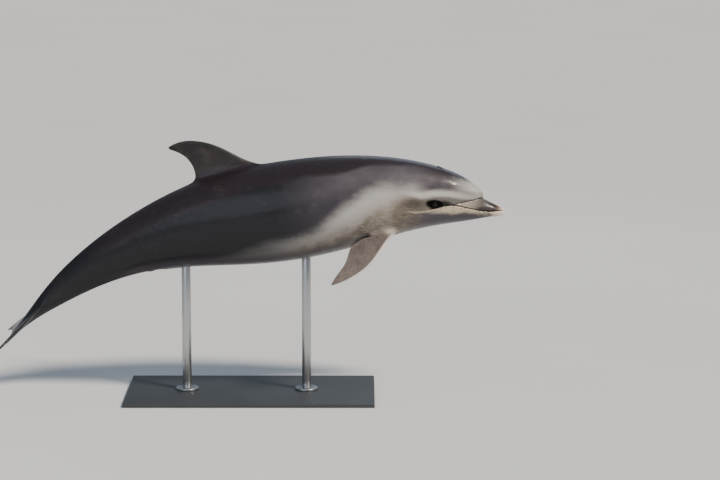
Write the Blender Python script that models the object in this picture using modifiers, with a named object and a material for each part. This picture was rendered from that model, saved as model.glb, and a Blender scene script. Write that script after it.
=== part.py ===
"""A life-size bottlenose dolphin in mid leap, held over a flat base by two short rods.

The animal is modelled straight and then bent into its leap. In the straight animal a place is
(station, side, height): metres back from the beak's tip, metres to its left, and metres above
the line that becomes its spine. One closed skin is grown from rings of points, its fins are
extruded from that skin, and thin blades part it into the pieces that a person would name.
"""

import math

import bmesh
import bpy
import numpy as np
from mathutils import Matrix, Vector

# Driving dimensions, in metres.
BODY_LENGTH = 2.60
BEAK_TIP = Vector((1.2263, 0.0, 0.8966))
COLUMNS = 32
HALF = COLUMNS // 2
MELON_FRONT = 0.117
GAPE = 0.366
THIN_EDGE = 0.0012
PART_GAP = 0.0004
FIT_GAP = 0.0003

EYE_STATION = 0.347
EYE_HEIGHT = -0.003
EYE_RADIUS = 0.017
EYE_PROUD = 0.006

BASE_SIZE = (1.20, 0.60, 0.02)
BASE_BEVEL = 0.004
ROD_RADIUS = 0.022
ROD_PLACES = {"front": 0.27, "rear": -0.31}
ROD_DEPTH_IN_BODY = 0.06
FLANGE_RADIUS = 0.055
FLANGE_THICKNESS = 0.012

# Rings of the skin: each run ends at a station and holds that many spans.
FIRST_RING = 0.0008
RING_RUNS = [
    (0.0035, 1),
    (0.018, 2),
    (0.040, 1),
    (0.112, 4),
    (0.123, 3),
    (0.250, 7),
    (0.370, 6),
    (0.498, 4),
    (0.655, 5),
    (1.145, 7),
    (1.465, 6),
    (2.365, 11),
    (2.575, 6),
]

# Outline of the straight animal as (station, value) points.
SLOPE_OF_SPINE = [
    (0.0, -11),
    (0.35, -7),
    (0.7, 2),
    (1.1, 8.5),
    (1.5, 15.5),
    (1.85, 26),
    (2.2, 38),
    (2.6, 47),
]
BEAK_TOP = [(0.0, 0.002), (0.012, 0.0122), (0.044, 0.0226), (0.08, 0.0331), (0.14, 0.052)]
BACK = [
    (MELON_FRONT, 0.0485),
    (0.125, 0.0700),
    (0.152, 0.0936),
    (0.202, 0.1215),
    (0.324, 0.1592),
    (0.52, 0.1868),
    (0.92, 0.2062),
    (1.151, 0.2045),
    (1.45, 0.186),
    (1.75, 0.138),
    (2.05, 0.092),
    (2.3, 0.053),
    (2.45, 0.024),
    (2.6, 0.006),
]
BELLY = [
    (0.0, -0.003),
    (0.006, -0.0183),
    (0.066, -0.0376),
    (0.158, -0.0709),
    (0.349, -0.1284),
    (0.56, -0.194),
    (0.765, -0.2458),
    (0.977, -0.2745),
    (1.3, -0.262),
    (1.6, -0.203),
    (1.85, -0.145),
    (2.1, -0.095),
    (2.3, -0.055),
    (2.45, -0.024),
    (2.6, -0.006),
]
HALF_WIDTH = [
    (0.0, 0.004),
    (0.01, 0.019),
    (0.04, 0.030),
    (0.1, 0.042),
    (0.2, 0.078),
    (0.3, 0.115),
    (0.42, 0.145),
    (0.65, 0.187),
    (0.95, 0.210),
    (1.3, 0.187),
    (1.7, 0.113),
    (2.05, 0.054),
    (2.28, 0.031),
    (2.36, 0.034),
    (2.46, 0.044),
    (2.53, 0.036),
    (2.6, 0.014),
]
# The widest level: the line of the mouth in front, and of the flank behind it.
WIDEST_LEVEL = [
    (0.0, 0.0030),
    (0.027, 0.0035),
    (0.06, -0.0052),
    (0.098, -0.0098),
    (0.173, -0.0058),
    (0.248, 0.0015),
    (0.296, -0.0048),
    (0.342, -0.020),
    (0.42, -0.036),
    (0.6, -0.042),
    (1.0, -0.037),
    (1.6, -0.030),
    (2.1, 0.0),
    (2.6, 0.0),
]
# Roundness of the sections: 1 is an ellipse, less is fuller, more is keeled.
ROUNDNESS_ABOVE = [(0.1, 1.0), (0.15, 0.8), (0.3, 0.85), (0.6, 1.0), (1.5, 1.0), (1.95, 1.2), (2.3, 1.2), (2.42, 1.5)]
ROUNDNESS_BELOW = [(0.02, 0.9), (0.3, 0.9), (0.6, 1.0), (1.5, 1.0), (1.95, 1.2), (2.3, 1.2), (2.42, 1.5)]
MELON_SWELL = [(0.112, 0.0), (0.15, 0.008), (0.23, 0.009), (0.36, 0.0)]
COLUMN_CROWDING = [(0.36, 1.4), (0.56, 1.0), (2.15, 1.0), (2.4, 0.6)]
CREASE = [(0.095, 0.062), (0.116, 0.0505), (0.156, 0.0391), (0.202, 0.0231), (0.236, 0.0120), (0.262, -0.004)]

# Fins: leading and trailing edge from root to tip, each as (share of the way out, place).
DORSAL_FIN = {
    "rings": (1.145, 1.465),
    "column": 0,
    "oval": 1.0,
    "leading": [
        (0.0, (1.160, 0.0, 0.211)),
        (0.2, (1.214, 0.0, 0.2415)),
        (0.4, (1.275, 0.0, 0.293)),
        (0.6, (1.345, 0.0, 0.348)),
        (0.75, (1.405, 0.0, 0.377)),
        (0.88, (1.462, 0.0, 0.392)),
        (1.0, (1.521, 0.0, 0.383)),
    ],
    "trailing": [
        (0.0, (1.453, 0.0, 0.194)),
        (0.2, (1.447, 0.0, 0.230)),
        (0.4, (1.449, 0.0, 0.262)),
        (0.6, (1.459, 0.0, 0.297)),
        (0.75, (1.475, 0.0, 0.324)),
        (0.88, (1.497, 0.0, 0.347)),
        (1.0, (1.523, 0.0, 0.368)),
    ],
    "half_thickness": [(0.0, 0.021), (0.2, 0.015), (0.6, 0.010), (1.0, 0.004)],
    "levels": [0.05, 0.14, 0.28, 0.44, 0.61, 0.77, 0.9, 1.0],
}
FLIPPER = {
    "rings": (0.498, 0.655),
    "column": 12,
    "oval": 1.0,
    "leading": [
        (0.0, (0.510, -0.115, -0.142)),
        (0.12, (0.544, -0.124, -0.175)),
        (0.25, (0.577, -0.139, -0.222)),
        (0.4, (0.611, -0.157, -0.265)),
        (0.55, (0.649, -0.177, -0.302)),
        (0.7, (0.707, -0.199, -0.337)),
        (0.85, (0.783, -0.225, -0.362)),
        (1.0, (0.865, -0.250, -0.376)),
    ],
    "trailing": [
        (0.0, (0.648, -0.136, -0.163)),
        (0.12, (0.704, -0.156, -0.177)),
        (0.25, (0.754, -0.172, -0.203)),
        (0.4, (0.774, -0.184, -0.245)),
        (0.55, (0.791, -0.198, -0.284)),
        (0.7, (0.816, -0.213, -0.311)),
        (0.85, (0.843, -0.231, -0.336)),
        (1.0, (0.872, -0.251, -0.368)),
    ],
    "half_thickness": [(0.0, 0.026), (0.15, 0.018), (0.5, 0.011), (1.0, 0.004)],
    "spread_when_mirrored": 26,
    "levels": [0.07, 0.16, 0.28, 0.42, 0.58, 0.74, 0.88, 1.0],
}
FLUKE = {
    "rings": (2.365, 2.575),
    "column": 8,
    "oval": 0.5,
    "leading": [
        (0.0, (2.372, -0.033, 0.0)),
        (0.12, (2.402, -0.070, 0.001)),
        (0.3, (2.441, -0.127, 0.003)),
        (0.5, (2.492, -0.190, 0.006)),
        (0.7, (2.547, -0.247, 0.010)),
        (0.85, (2.593, -0.285, 0.014)),
        (1.0, (2.643, -0.313, 0.018)),
    ],
    "trailing": [
        (0.0, (2.577, -0.022, 0.0)),
        (0.12, (2.603, -0.058, 0.001)),
        (0.3, (2.607, -0.112, 0.003)),
        (0.5, (2.606, -0.172, 0.006)),
        (0.7, (2.614, -0.230, 0.010)),
        (0.85, (2.629, -0.275, 0.014)),
        (1.0, (2.649, -0.309, 0.018)),
    ],
    "half_thickness": [(0.0, 0.007), (0.3, 0.010), (0.7, 0.007), (1.0, 0.0035)],
    "levels": [0.06, 0.16, 0.3, 0.46, 0.62, 0.78, 0.91, 1.0],
}

# Cuts across the body, at these stations.
NECK_FRONT = 0.43
NECK_REAR = 0.505
CHEST_REAR = 1.02
BELLY_REAR = 1.62
STOCK_MIDDLE = 2.05
FLUKE_FRONT = 2.345
ROOT_LIFT = 0.006
FLIPPER_CUT = 0.13

SKIN_GREY = (0.16, 0.15, 0.155)
COLOURS = {
    "beak": (0.12, 0.105, 0.10),
    "jaw": (0.55, 0.50, 0.44),
    "skin": SKIN_GREY,
    "fin": (0.09, 0.08, 0.078),
    "eye": (0.01, 0.008, 0.007),
    "base": (0.05, 0.052, 0.056),
    "rod": (0.55, 0.56, 0.57),
}


def spline(points, start=None):
    """Natural cubic curve through (station, value) points.

    With a start, it runs over the square root of the distance from there, as a blunt nose does."""
    stations = np.array([p[0] for p in points], float)
    values = np.array([p[1] for p in points], float)
    if start is not None:
        stations = np.sqrt(stations - start)
    count = len(stations)
    spans = np.diff(stations)
    matrix = np.eye(count)
    right = np.zeros(count)
    for i in range(1, count - 1):
        matrix[i, i - 1 : i + 2] = spans[i - 1], 2 * (spans[i - 1] + spans[i]), spans[i]
        rise = (values[i + 1] - values[i]) / spans[i]
        right[i] = 6 * (rise - (values[i] - values[i - 1]) / spans[i - 1])
    bend = np.linalg.solve(matrix, right)

    def value_at(station):
        if start is not None:
            station = math.sqrt(max(station - start, 0.0))
        station = min(max(station, stations[0]), stations[-1])
        i = min(max(int(np.searchsorted(stations, station)) - 1, 0), count - 2)
        step, span = station - stations[i], spans[i]
        slope = (values[i + 1] - values[i]) / span - span * (2 * bend[i] + bend[i + 1]) / 6
        curl = (bend[i + 1] - bend[i]) / (6 * span)
        return float(values[i] + step * (slope + step * (bend[i] / 2 + step * curl)))

    return value_at


def eased(points):
    """Value that eases from each (station, value) point to the next and is level beyond the ends."""

    def value_at(station):
        for (near, low), (far, high) in zip(points, points[1:]):
            if station < far:
                share = min(max((station - near) / (far - near), 0.0), 1.0)
                return low + (high - low) * share * share * (3 - 2 * share)
        return points[-1][1]

    return value_at


beak_top = spline(BEAK_TOP, start=0.0)
back = spline(BACK, start=MELON_FRONT)
belly = spline(BELLY, start=0.0)
half_width = spline(HALF_WIDTH, start=0.0)
widest_level = spline(WIDEST_LEVEL)
roundness_above = eased(ROUNDNESS_ABOVE)
roundness_below = eased(ROUNDNESS_BELOW)
column_crowding = eased(COLUMN_CROWDING)
melon_swell = eased(MELON_SWELL)


# The leap


def spine_line():
    """Stations, places and slopes along the bent spine."""
    slope = spline(SLOPE_OF_SPINE)
    stations = np.linspace(0.0, BODY_LENGTH + 0.1, 1351)
    slopes = np.radians([slope(s) for s in stations])
    middles = (slopes[1:] + slopes[:-1]) / 2
    steps = np.diff(stations)
    x = BEAK_TIP.x - np.concatenate([[0.0], np.cumsum(np.cos(middles) * steps)])
    z = BEAK_TIP.z - np.concatenate([[0.0], np.cumsum(np.sin(middles) * steps)])
    return stations, x, z, slopes


SPINE = spine_line()


def in_leap(place):
    """Where a place of the straight animal comes to lie in the leap."""
    station, side, height = place
    stations, x, z, slopes = SPINE
    slope = np.interp(station, stations, slopes)
    if station < 0:
        return Vector((
            x[0] - station * math.cos(slope) - height * math.sin(slope),
            side,
            z[0] - station * math.sin(slope) + height * math.cos(slope),
        ))
    return Vector((
        np.interp(station, stations, x) - height * math.sin(slope),
        side,
        np.interp(station, stations, z) + height * math.cos(slope),
    ))


# The skin


def top_height(station):
    return beak_top(station) if station < MELON_FRONT else back(station)


def skin_place(station, column, lift=0.0):
    """Point of the straight skin. Column 0 is the back's midline, and columns run round by the right side."""
    turn = column % COLUMNS
    right_side = turn <= HALF
    step = turn if right_side else COLUMNS - turn
    quarter = HALF / 2
    crowding = column_crowding(station)
    above = step <= quarter
    share = step / quarter if above else (HALF - step) / quarter
    angle = math.pi / 2 * (1 - (1 - share) ** crowding)
    level = widest_level(station)
    reach = (top_height(station) if above else belly(station)) - level
    power = roundness_above(station) if above else roundness_below(station)
    reach += lift if above else -lift
    side = (half_width(station) + lift) * math.sin(angle) ** power
    if above:
        side += melon_swell(station) * math.sin(2 * angle) ** 1.5
    height = level + reach * max(math.cos(angle), 0.0) ** power
    return Vector((station, -side if right_side else side, height))


def ring_stations():
    stations = [FIRST_RING]
    for end, spans in RING_RUNS:
        start = stations[-1]
        stations += [start + (end - start) * i / spans for i in range(1, spans + 1)]
    return stations


RINGS = ring_stations()


def ring_at(station):
    return min(range(len(RINGS)), key=lambda i: abs(RINGS[i] - station))


def oval_column(ring, column):
    """Draws the columns beside a fin's root in, so that the root's outline is an oval."""
    for fin in (DORSAL_FIN, FLIPPER, FLUKE):
        first, last = (ring_at(s) for s in fin["rings"])
        if first <= ring <= last:
            oval = math.sqrt(max(1 - (2 * (ring - first) / (last - first) - 1) ** 2, 0.0))
            drawn_in = (1 - max(oval, 0.35)) * fin["oval"]
            for middle in {fin["column"], -fin["column"]}:
                side = (column - middle + 1) % COLUMNS - 1
                if abs(side) == 1:
                    return column - side * drawn_in
    return column


def section_share(chord, along):
    """Half thickness at a share of the chord, as part of the thickest: oval at the root, then a wing's."""
    wing = 2.969 * math.sqrt(chord) - 1.26 * chord - 3.516 * chord**2 + 2.843 * chord**3 - 1.036 * chord**4
    oval = math.sqrt(max(1 - (2 * chord - 1) ** 2, 0.0))
    winged = min(along / 0.3, 1.0)
    return oval + (wing - oval) * winged


def fin_place(fin, along, chord, lift, mirrored):
    """Point of a fin: along it from root to tip, over its chord from 0 to 1, lifted off its middle plane."""
    edges = []
    for edge in ("leading", "trailing"):
        lines = [spline([(u, place[axis]) for u, place in fin[edge]]) for axis in range(3)]
        edges.append([Vector([line(u) for line in lines]) for u in (along, max(along - 0.05, 0.0), along + 0.05)])
    front, rear = edges[0][0], edges[1][0]
    outward = (edges[0][2] + edges[1][2]) - (edges[0][1] + edges[1][1])
    place = front.lerp(rear, chord) + outward.cross(rear - front).normalized() * lift
    if mirrored:
        spread = math.radians(fin.get("spread_when_mirrored", 0)) * min(along / 0.25, 1.0)
        root = Vector(fin["leading"][0][1])
        place = root + Matrix.Rotation(-spread, 3, "X") @ (place - root)
        place.y = -place.y
    return place


def grow_fin(mesh, layers, fin, mirrored=False):
    """Extrudes a fin from a patch of the skin two faces wide, level by level."""
    ring_layer, column_layer = layers
    first, last = (ring_at(s) for s in fin["rings"])
    middle = -fin["column"] if mirrored else fin["column"]
    patch = {(r, (middle + c) % COLUMNS) for r in range(first, last + 1) for c in (-1, 0, 1)}
    faces = [f for f in mesh.faces if all((v[ring_layer], v[column_layer]) in patch for v in f.verts)]
    thickness_at = spline(fin["half_thickness"])
    spans = last - first
    for along in fin["levels"]:
        made = bmesh.ops.extrude_face_region(mesh, geom=faces)["geom"]
        bmesh.ops.delete(mesh, geom=faces, context="FACES")
        faces = [item for item in made if isinstance(item, bmesh.types.BMFace)]
        for vertex in (item for item in made if isinstance(item, bmesh.types.BMVert)):
            step = (vertex[ring_layer] - first) / spans
            side = (vertex[column_layer] - middle + 1) % COLUMNS - 1
            edge = side == 0 and step in (0.0, 1.0)
            chord = step if edge else 0.02 + 0.96 * step**1.25
            lift = max(thickness_at(along) * section_share(chord, along), THIN_EDGE)
            vertex.co = fin_place(fin, along, chord, lift * (side if mirrored else -side), mirrored)


def whole_skin():
    """The straight animal with its fins, as one closed mesh."""
    mesh = bmesh.new()
    ring_layer = mesh.verts.layers.int.new("ring")
    column_layer = mesh.verts.layers.int.new("column")
    ring = bmesh.ops.create_circle(mesh, segments=COLUMNS, radius=1.0)["verts"]
    edges = list(mesh.edges)
    for column, vertex in enumerate(ring):
        vertex[column_layer] = column
        vertex.co = skin_place(RINGS[0], column)
    bmesh.ops.contextual_create(mesh, geom=edges)
    for number, station in enumerate(RINGS[1:], start=1):
        made = bmesh.ops.extrude_edge_only(mesh, edges=edges)["geom"]
        edges = [item for item in made if isinstance(item, bmesh.types.BMEdge)]
        for vertex in (item for item in made if isinstance(item, bmesh.types.BMVert)):
            vertex[ring_layer] = number
            vertex.co = skin_place(station, oval_column(number, vertex[column_layer]))
    bmesh.ops.contextual_create(mesh, geom=edges)
    layers = (ring_layer, column_layer)
    grow_fin(mesh, layers, DORSAL_FIN)
    for fin in (FLIPPER, FLUKE):
        grow_fin(mesh, layers, fin)
        grow_fin(mesh, layers, fin, mirrored=True)
    for vertex in mesh.verts:
        vertex.co = in_leap(vertex.co)
    bmesh.ops.recalc_face_normals(mesh, faces=mesh.faces)
    bmesh.ops.triangulate(mesh, faces=mesh.faces)
    return mesh


# Blender objects


def collection_named(name):
    made = bpy.data.collections.new(name)
    bpy.context.scene.collection.children.link(made)
    return made


def material_named(name, roughness, metallic=0.0):
    made = bpy.data.materials.new(name)
    made.use_nodes = True
    shader = made.node_tree.nodes["Principled BSDF"]
    shader.inputs["Base Color"].default_value = (*COLOURS[name], 1.0)
    shader.inputs["Roughness"].default_value = roughness
    shader.inputs["Metallic"].default_value = metallic
    made.diffuse_color = (*COLOURS[name], 1.0)
    return made


def object_from(mesh, name, collection):
    data = bpy.data.meshes.new(name)
    mesh.to_mesh(data)
    mesh.free()
    made = bpy.data.objects.new(name, data)
    collection.objects.link(made)
    return made


def as_cutter(cutter):
    cutter.hide_render = True
    cutter.display_type = "WIRE"
    return cutter


def apply_modifiers(target):
    graph = bpy.context.evaluated_depsgraph_get()
    finished = bpy.data.meshes.new_from_object(target.evaluated_get(graph))
    target.modifiers.clear()
    target.data = finished


def cut(target, cutter, operation="DIFFERENCE"):
    change = target.modifiers.new("Cut", "BOOLEAN")
    change.operation = operation
    change.object = cutter
    bpy.context.view_layer.update()
    apply_modifiers(target)


def blade(name, rows, thickness=PART_GAP):
    """Thin closed cutter over a grid of places in the straight animal, bent with it."""
    mesh = bmesh.new()
    grid = [[mesh.verts.new(in_leap(place)) for place in row] for row in rows]
    for upper, lower in zip(grid, grid[1:]):
        for i in range(len(upper) - 1):
            mesh.faces.new((upper[i], upper[i + 1], lower[i + 1], lower[i]))
    made = object_from(mesh, name, cutters)
    shell = made.modifiers.new("Thickness", "SOLIDIFY")
    shell.thickness = thickness
    shell.offset = 0.0
    bpy.context.view_layer.update()
    apply_modifiers(made)
    return as_cutter(made)


def ribbon(name, line, reach=0.4):
    """Blade along a line of (station, height) points, from one side of the animal to the other."""
    return blade(name, [[(s, side, h) for s, h in line] for side in (-reach, reach)])


def fin_blade(name, fin, along, mirrored=False):
    """Blade straight through a fin, clear of the body beside it."""
    chords = (-0.2, 0.2, 0.5, 0.8, 1.2)
    return blade(name, [[fin_place(fin, along, c, lift, mirrored) for c in chords] for lift in (-0.035, 0.035)])


def blades():
    mouth = [(-0.02, 0.003)] + [(s, widest_level(s)) for s in RINGS if s < GAPE] + [(GAPE, widest_level(GAPE))]
    gape_level = widest_level(GAPE)
    yield ribbon("blade_mouth", mouth)
    yield ribbon("blade_jaw", [(GAPE - 0.003, gape_level + 0.002), (GAPE + 0.035, -0.2)])
    yield ribbon("blade_crease", CREASE)
    for station in (NECK_FRONT, NECK_REAR, CHEST_REAR, BELLY_REAR, STOCK_MIDDLE, FLUKE_FRONT):
        yield ribbon(f"blade_{station}", [(station, -0.4), (station, 0.3)])
    midline = [[(FLUKE_FRONT - 0.0001, 0.0, h), (BODY_LENGTH + 0.09, 0.0, h)] for h in (-0.1, 0.1)]
    yield blade("blade_flukes", midline)
    root = [(s, back(s) + ROOT_LIFT) for s in (1.07, 1.2, 1.3, 1.4, 1.53)]
    yield ribbon("blade_dorsal", root, reach=0.1)
    yield fin_blade("blade_right", FLIPPER, FLIPPER_CUT)
    yield fin_blade("blade_left", FLIPPER, FLIPPER_CUT, mirrored=True)


def meets(piece, cutter):
    """Whether the boxes of two objects overlap."""
    boxes = [[Vector(corner) for corner in item.bound_box] for item in (piece, cutter)]
    return all(
        min(c[axis] for c in boxes[0]) < max(c[axis] for c in boxes[1])
        and min(c[axis] for c in boxes[1]) < max(c[axis] for c in boxes[0])
        for axis in range(3)
    )


def loose_parts(whole):
    bpy.ops.object.select_all(action="DESELECT")
    bpy.context.view_layer.objects.active = whole
    whole.select_set(True)
    bpy.ops.mesh.separate(type="LOOSE")
    bpy.context.view_layer.update()
    return list(bpy.context.selected_objects)


def parted(whole):
    """The pieces that the blades leave, each cut only by the blades that reach it."""
    pieces = [whole]
    for cutter in list(blades()):
        for piece in [p for p in pieces if meets(p, cutter)]:
            cut(piece, cutter)
            pieces.remove(piece)
            pieces += loose_parts(piece)
    return pieces


def middle_of(part):
    corners = [Vector(corner) for corner in part.bound_box]
    return (corners[0] + corners[6]) / 2


def node_places():
    """A place inside each piece of flesh, in the straight animal, with its finish."""
    yield "beak_upper", (0.08, 0.0, 0.012), "beak"
    yield "beak_lower", (0.15, 0.0, -0.035), "jaw"
    yield "head", (0.30, 0.0, 0.06), "skin"
    yield "neck", (0.467, 0.0, 0.0), "skin"
    yield "trunk_front", (0.76, 0.0, -0.02), "skin"
    yield "trunk_rear", (1.32, 0.0, -0.03), "skin"
    yield "tail_stock_front", (1.83, 0.0, 0.0), "skin"
    yield "tail_stock_rear", (2.20, 0.0, 0.0), "skin"
    yield "dorsal_fin", (1.36, 0.0, 0.29), "fin"
    for name, sign in (("right", -1), ("left", 1)):
        yield f"flipper_{name}", (0.70, sign * 0.18, -0.26), "fin"
        yield f"fluke_{name}", (2.51, sign * 0.16, 0.005), "fin"


def name_parts(parts, finishes):
    """Gives each loose part the name whose place is nearest to its middle."""
    left = list(parts)
    for name, place, finish in node_places():
        target = in_leap(place)
        part = min(left, key=lambda p: (middle_of(p) - target).length)
        left.remove(part)
        part.name = part.data.name = name
        part.data.materials.clear()
        part.data.materials.append(finishes[finish])
        nodes.objects.link(part)
        cutters.objects.unlink(part)
    if left:
        raise RuntimeError(f"{len(left)} loose parts have no name")


def eye_centre(sign):
    surface = skin_place(EYE_STATION, HALF / 2 - 1)
    side = abs(surface.y) + EYE_PROUD - EYE_RADIUS
    return in_leap((EYE_STATION, sign * side, EYE_HEIGHT))


def ball(name, centre, radius, collection):
    mesh = bmesh.new()
    bmesh.ops.create_uvsphere(mesh, u_segments=14, v_segments=8, radius=radius)
    bmesh.ops.translate(mesh, vec=centre, verts=mesh.verts)
    return object_from(mesh, name, collection)


def add_eyes(finishes):
    head = bpy.data.objects["head"]
    for name, sign in (("right", -1), ("left", 1)):
        socket = as_cutter(ball(f"socket_{name}", eye_centre(sign), EYE_RADIUS + FIT_GAP, cutters))
        cut(head, socket)
        ball(f"eye_{name}", eye_centre(sign), EYE_RADIUS, nodes).data.materials.append(finishes["eye"])


def cylinder(name, radius, low, high, x, collection, segments=24):
    mesh = bmesh.new()
    bmesh.ops.create_cone(
        mesh, cap_ends=True, segments=segments, radius1=radius, radius2=radius, depth=high - low
    )
    bmesh.ops.translate(mesh, vec=(x, 0.0, (low + high) / 2), verts=mesh.verts)
    return object_from(mesh, name, collection)


def belly_above(x):
    """Height of the belly's midline over a place on the floor."""
    stations = np.linspace(0.3, 2.3, 401)
    line = [in_leap((s, 0.0, belly(s))) for s in stations]
    nearest = min(line, key=lambda place: abs(place.x - x))
    return nearest.z


def add_stand(finishes):
    length, width, thickness = BASE_SIZE
    mesh = bmesh.new()
    bmesh.ops.create_cube(mesh, size=1.0)
    bmesh.ops.scale(mesh, vec=BASE_SIZE, verts=mesh.verts)
    bmesh.ops.translate(mesh, vec=(0.0, 0.0, thickness / 2), verts=mesh.verts)
    base = object_from(mesh, "stand_base", nodes)
    edges = base.modifiers.new("Edges", "BEVEL")
    edges.width = BASE_BEVEL
    edges.segments = 2
    apply_modifiers(base)
    base.data.materials.append(finishes["base"])
    for name, x in ROD_PLACES.items():
        end = belly_above(x) + ROD_DEPTH_IN_BODY
        rod = cylinder(f"stand_rod_{name}", ROD_RADIUS, thickness + FIT_GAP, end, x, nodes)
        rod.data.materials.append(finishes["rod"])
        low = thickness + FIT_GAP
        flange = cylinder(f"stand_flange_{name}", FLANGE_RADIUS, low, low + FLANGE_THICKNESS, x, nodes)
        bore = as_cutter(cylinder(f"flange_bore_{name}", ROD_RADIUS + FIT_GAP, 0.0, 1.0, x, cutters))
        cut(flange, bore)
        flange.data.materials.append(finishes["rod"])
        socket = as_cutter(cylinder(f"rod_socket_{name}", ROD_RADIUS + FIT_GAP, 0.2, end + FIT_GAP, x, cutters))
        for node in ("trunk_front", "trunk_rear", "tail_stock_front"):
            cut(bpy.data.objects[node], socket)


for old in list(bpy.data.objects):
    bpy.data.objects.remove(old)
nodes = collection_named("bottlenose_dolphin")
cutters = collection_named("cutters")


def main():
    finishes = {name: material_named(name, 0.35) for name in ("beak", "jaw", "skin", "fin")}
    finishes["eye"] = material_named("eye", 0.05)
    finishes["base"] = material_named("base", 0.5)
    finishes["rod"] = material_named("rod", 0.3, metallic=1.0)
    animal = object_from(whole_skin(), "animal", cutters)
    name_parts(parted(animal), finishes)
    add_eyes(finishes)
    add_stand(finishes)
    for node in nodes.objects:
        node.data.shade_smooth()
        node.data.set_sharp_from_angle(angle=math.radians(35))


main()
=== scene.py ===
import math

import bmesh
import bpy
import numpy as np
from mathutils import Matrix, Vector


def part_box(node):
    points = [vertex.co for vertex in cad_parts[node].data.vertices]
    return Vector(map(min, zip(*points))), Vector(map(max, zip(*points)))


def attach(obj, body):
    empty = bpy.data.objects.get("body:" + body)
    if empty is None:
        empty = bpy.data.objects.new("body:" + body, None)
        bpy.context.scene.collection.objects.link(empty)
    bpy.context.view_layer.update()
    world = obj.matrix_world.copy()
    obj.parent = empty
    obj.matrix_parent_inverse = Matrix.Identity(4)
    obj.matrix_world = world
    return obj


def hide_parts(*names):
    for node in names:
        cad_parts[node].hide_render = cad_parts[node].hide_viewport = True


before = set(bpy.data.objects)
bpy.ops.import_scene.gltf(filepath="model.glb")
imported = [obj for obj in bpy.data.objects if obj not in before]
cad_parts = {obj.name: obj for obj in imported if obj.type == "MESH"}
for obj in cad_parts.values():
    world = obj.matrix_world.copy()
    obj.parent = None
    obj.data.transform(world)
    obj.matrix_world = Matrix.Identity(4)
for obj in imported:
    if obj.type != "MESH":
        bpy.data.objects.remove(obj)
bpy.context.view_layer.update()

# The animal is modelled straight and bent into its leap at the end. In the straight animal a place is
# (station, side, height): metres back from the tip of the beak, to its left, and above the spine's line.

body = {
    "beakTip": (1.2263, 0.8966),
    "length": 2.60,
    "columns": 40,
    "melonFront": 0.117,
    "firstRing": 0.0008,
    # each run of rings ends at a station and holds so many spans
    "ringRuns": [(0.0035, 1), (0.018, 2), (0.040, 2), (0.112, 6), (0.124, 4), (0.250, 13), (0.370, 9),
                 (0.498, 6), (0.655, 6), (1.145, 11), (1.465, 7), (2.365, 16), (2.575, 6)],
    "spineSlope": [(0, -11), (0.35, -7), (0.7, 2), (1.1, 8.5), (1.5, 15.5), (1.85, 26), (2.2, 38), (2.6, 47)],
    "beakTop": [(0, 0.002), (0.012, 0.0122), (0.044, 0.0226), (0.08, 0.0331), (0.14, 0.052)],
    "back": [(0.117, 0.0485), (0.125, 0.070), (0.152, 0.0936), (0.202, 0.1215), (0.324, 0.1592),
             (0.52, 0.1868), (0.92, 0.2062), (1.151, 0.2045), (1.45, 0.186), (1.75, 0.138), (2.05, 0.092),
             (2.3, 0.053), (2.45, 0.024), (2.6, 0.006)],
    "belly": [(0, -0.003), (0.006, -0.0183), (0.066, -0.0376), (0.158, -0.0709), (0.349, -0.1284),
              (0.56, -0.194), (0.765, -0.2458), (0.977, -0.2745), (1.3, -0.262), (1.6, -0.203),
              (1.85, -0.145), (2.1, -0.095), (2.3, -0.055), (2.45, -0.024), (2.6, -0.006)],
    "halfWidth": [(0, 0.004), (0.01, 0.019), (0.04, 0.030), (0.1, 0.042), (0.2, 0.078), (0.3, 0.115),
                  (0.42, 0.145), (0.65, 0.187), (0.95, 0.210), (1.3, 0.187), (1.7, 0.113), (2.05, 0.054),
                  (2.28, 0.031), (2.36, 0.034), (2.46, 0.044), (2.53, 0.036), (2.6, 0.014)],
    # the widest level is the line of the mouth in front and of the flank behind it
    "widestLevel": [(0, 0.0030), (0.027, 0.0035), (0.06, -0.0052), (0.098, -0.0098), (0.173, -0.0058),
                    (0.248, 0.0015), (0.296, -0.0048), (0.342, -0.020), (0.42, -0.036), (0.6, -0.042),
                    (1.0, -0.037), (1.6, -0.030), (2.1, 0), (2.6, 0)],
    # 1 is an ellipse, less is fuller, more is keeled
    "roundAbove": [(0.1, 1.0), (0.15, 0.8), (0.3, 0.85), (0.6, 1.0), (1.5, 1.0), (1.95, 1.2), (2.3, 1.2),
                   (2.42, 1.5)],
    "roundBelow": [(0.02, 0.9), (0.3, 0.9), (0.6, 1.0), (1.5, 1.0), (1.95, 1.2), (2.3, 1.2), (2.42, 1.5)],
    "melonSwell": [(0.112, 0), (0.15, 0.008), (0.23, 0.009), (0.36, 0)],
    "crowding": [(0.36, 1.4), (0.56, 1.0), (2.15, 1.0), (2.4, 0.6)],
}

dorsalFin = {
    "rings": (1.145, 1.465), "column": 0, "oval": 1.0, "spread": 0, "dome": 0.003, "name": "dorsalShare",
    "leading": [(0, (1.160, 0, 0.211)), (0.2, (1.214, 0, 0.2415)), (0.4, (1.275, 0, 0.293)),
                (0.6, (1.345, 0, 0.348)), (0.75, (1.405, 0, 0.377)), (0.88, (1.462, 0, 0.392)),
                (1, (1.521, 0, 0.383))],
    "trailing": [(0, (1.453, 0, 0.194)), (0.2, (1.447, 0, 0.230)), (0.4, (1.449, 0, 0.262)),
                 (0.6, (1.459, 0, 0.297)), (0.75, (1.475, 0, 0.324)), (0.88, (1.497, 0, 0.347)),
                 (1, (1.523, 0, 0.368))],
    "halfThickness": [(0, 0.021), (0.2, 0.015), (0.6, 0.010), (1, 0.004)],
    "levels": [0.05, 0.12, 0.22, 0.34, 0.48, 0.62, 0.75, 0.86, 0.94, 1.0],
}
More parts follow.
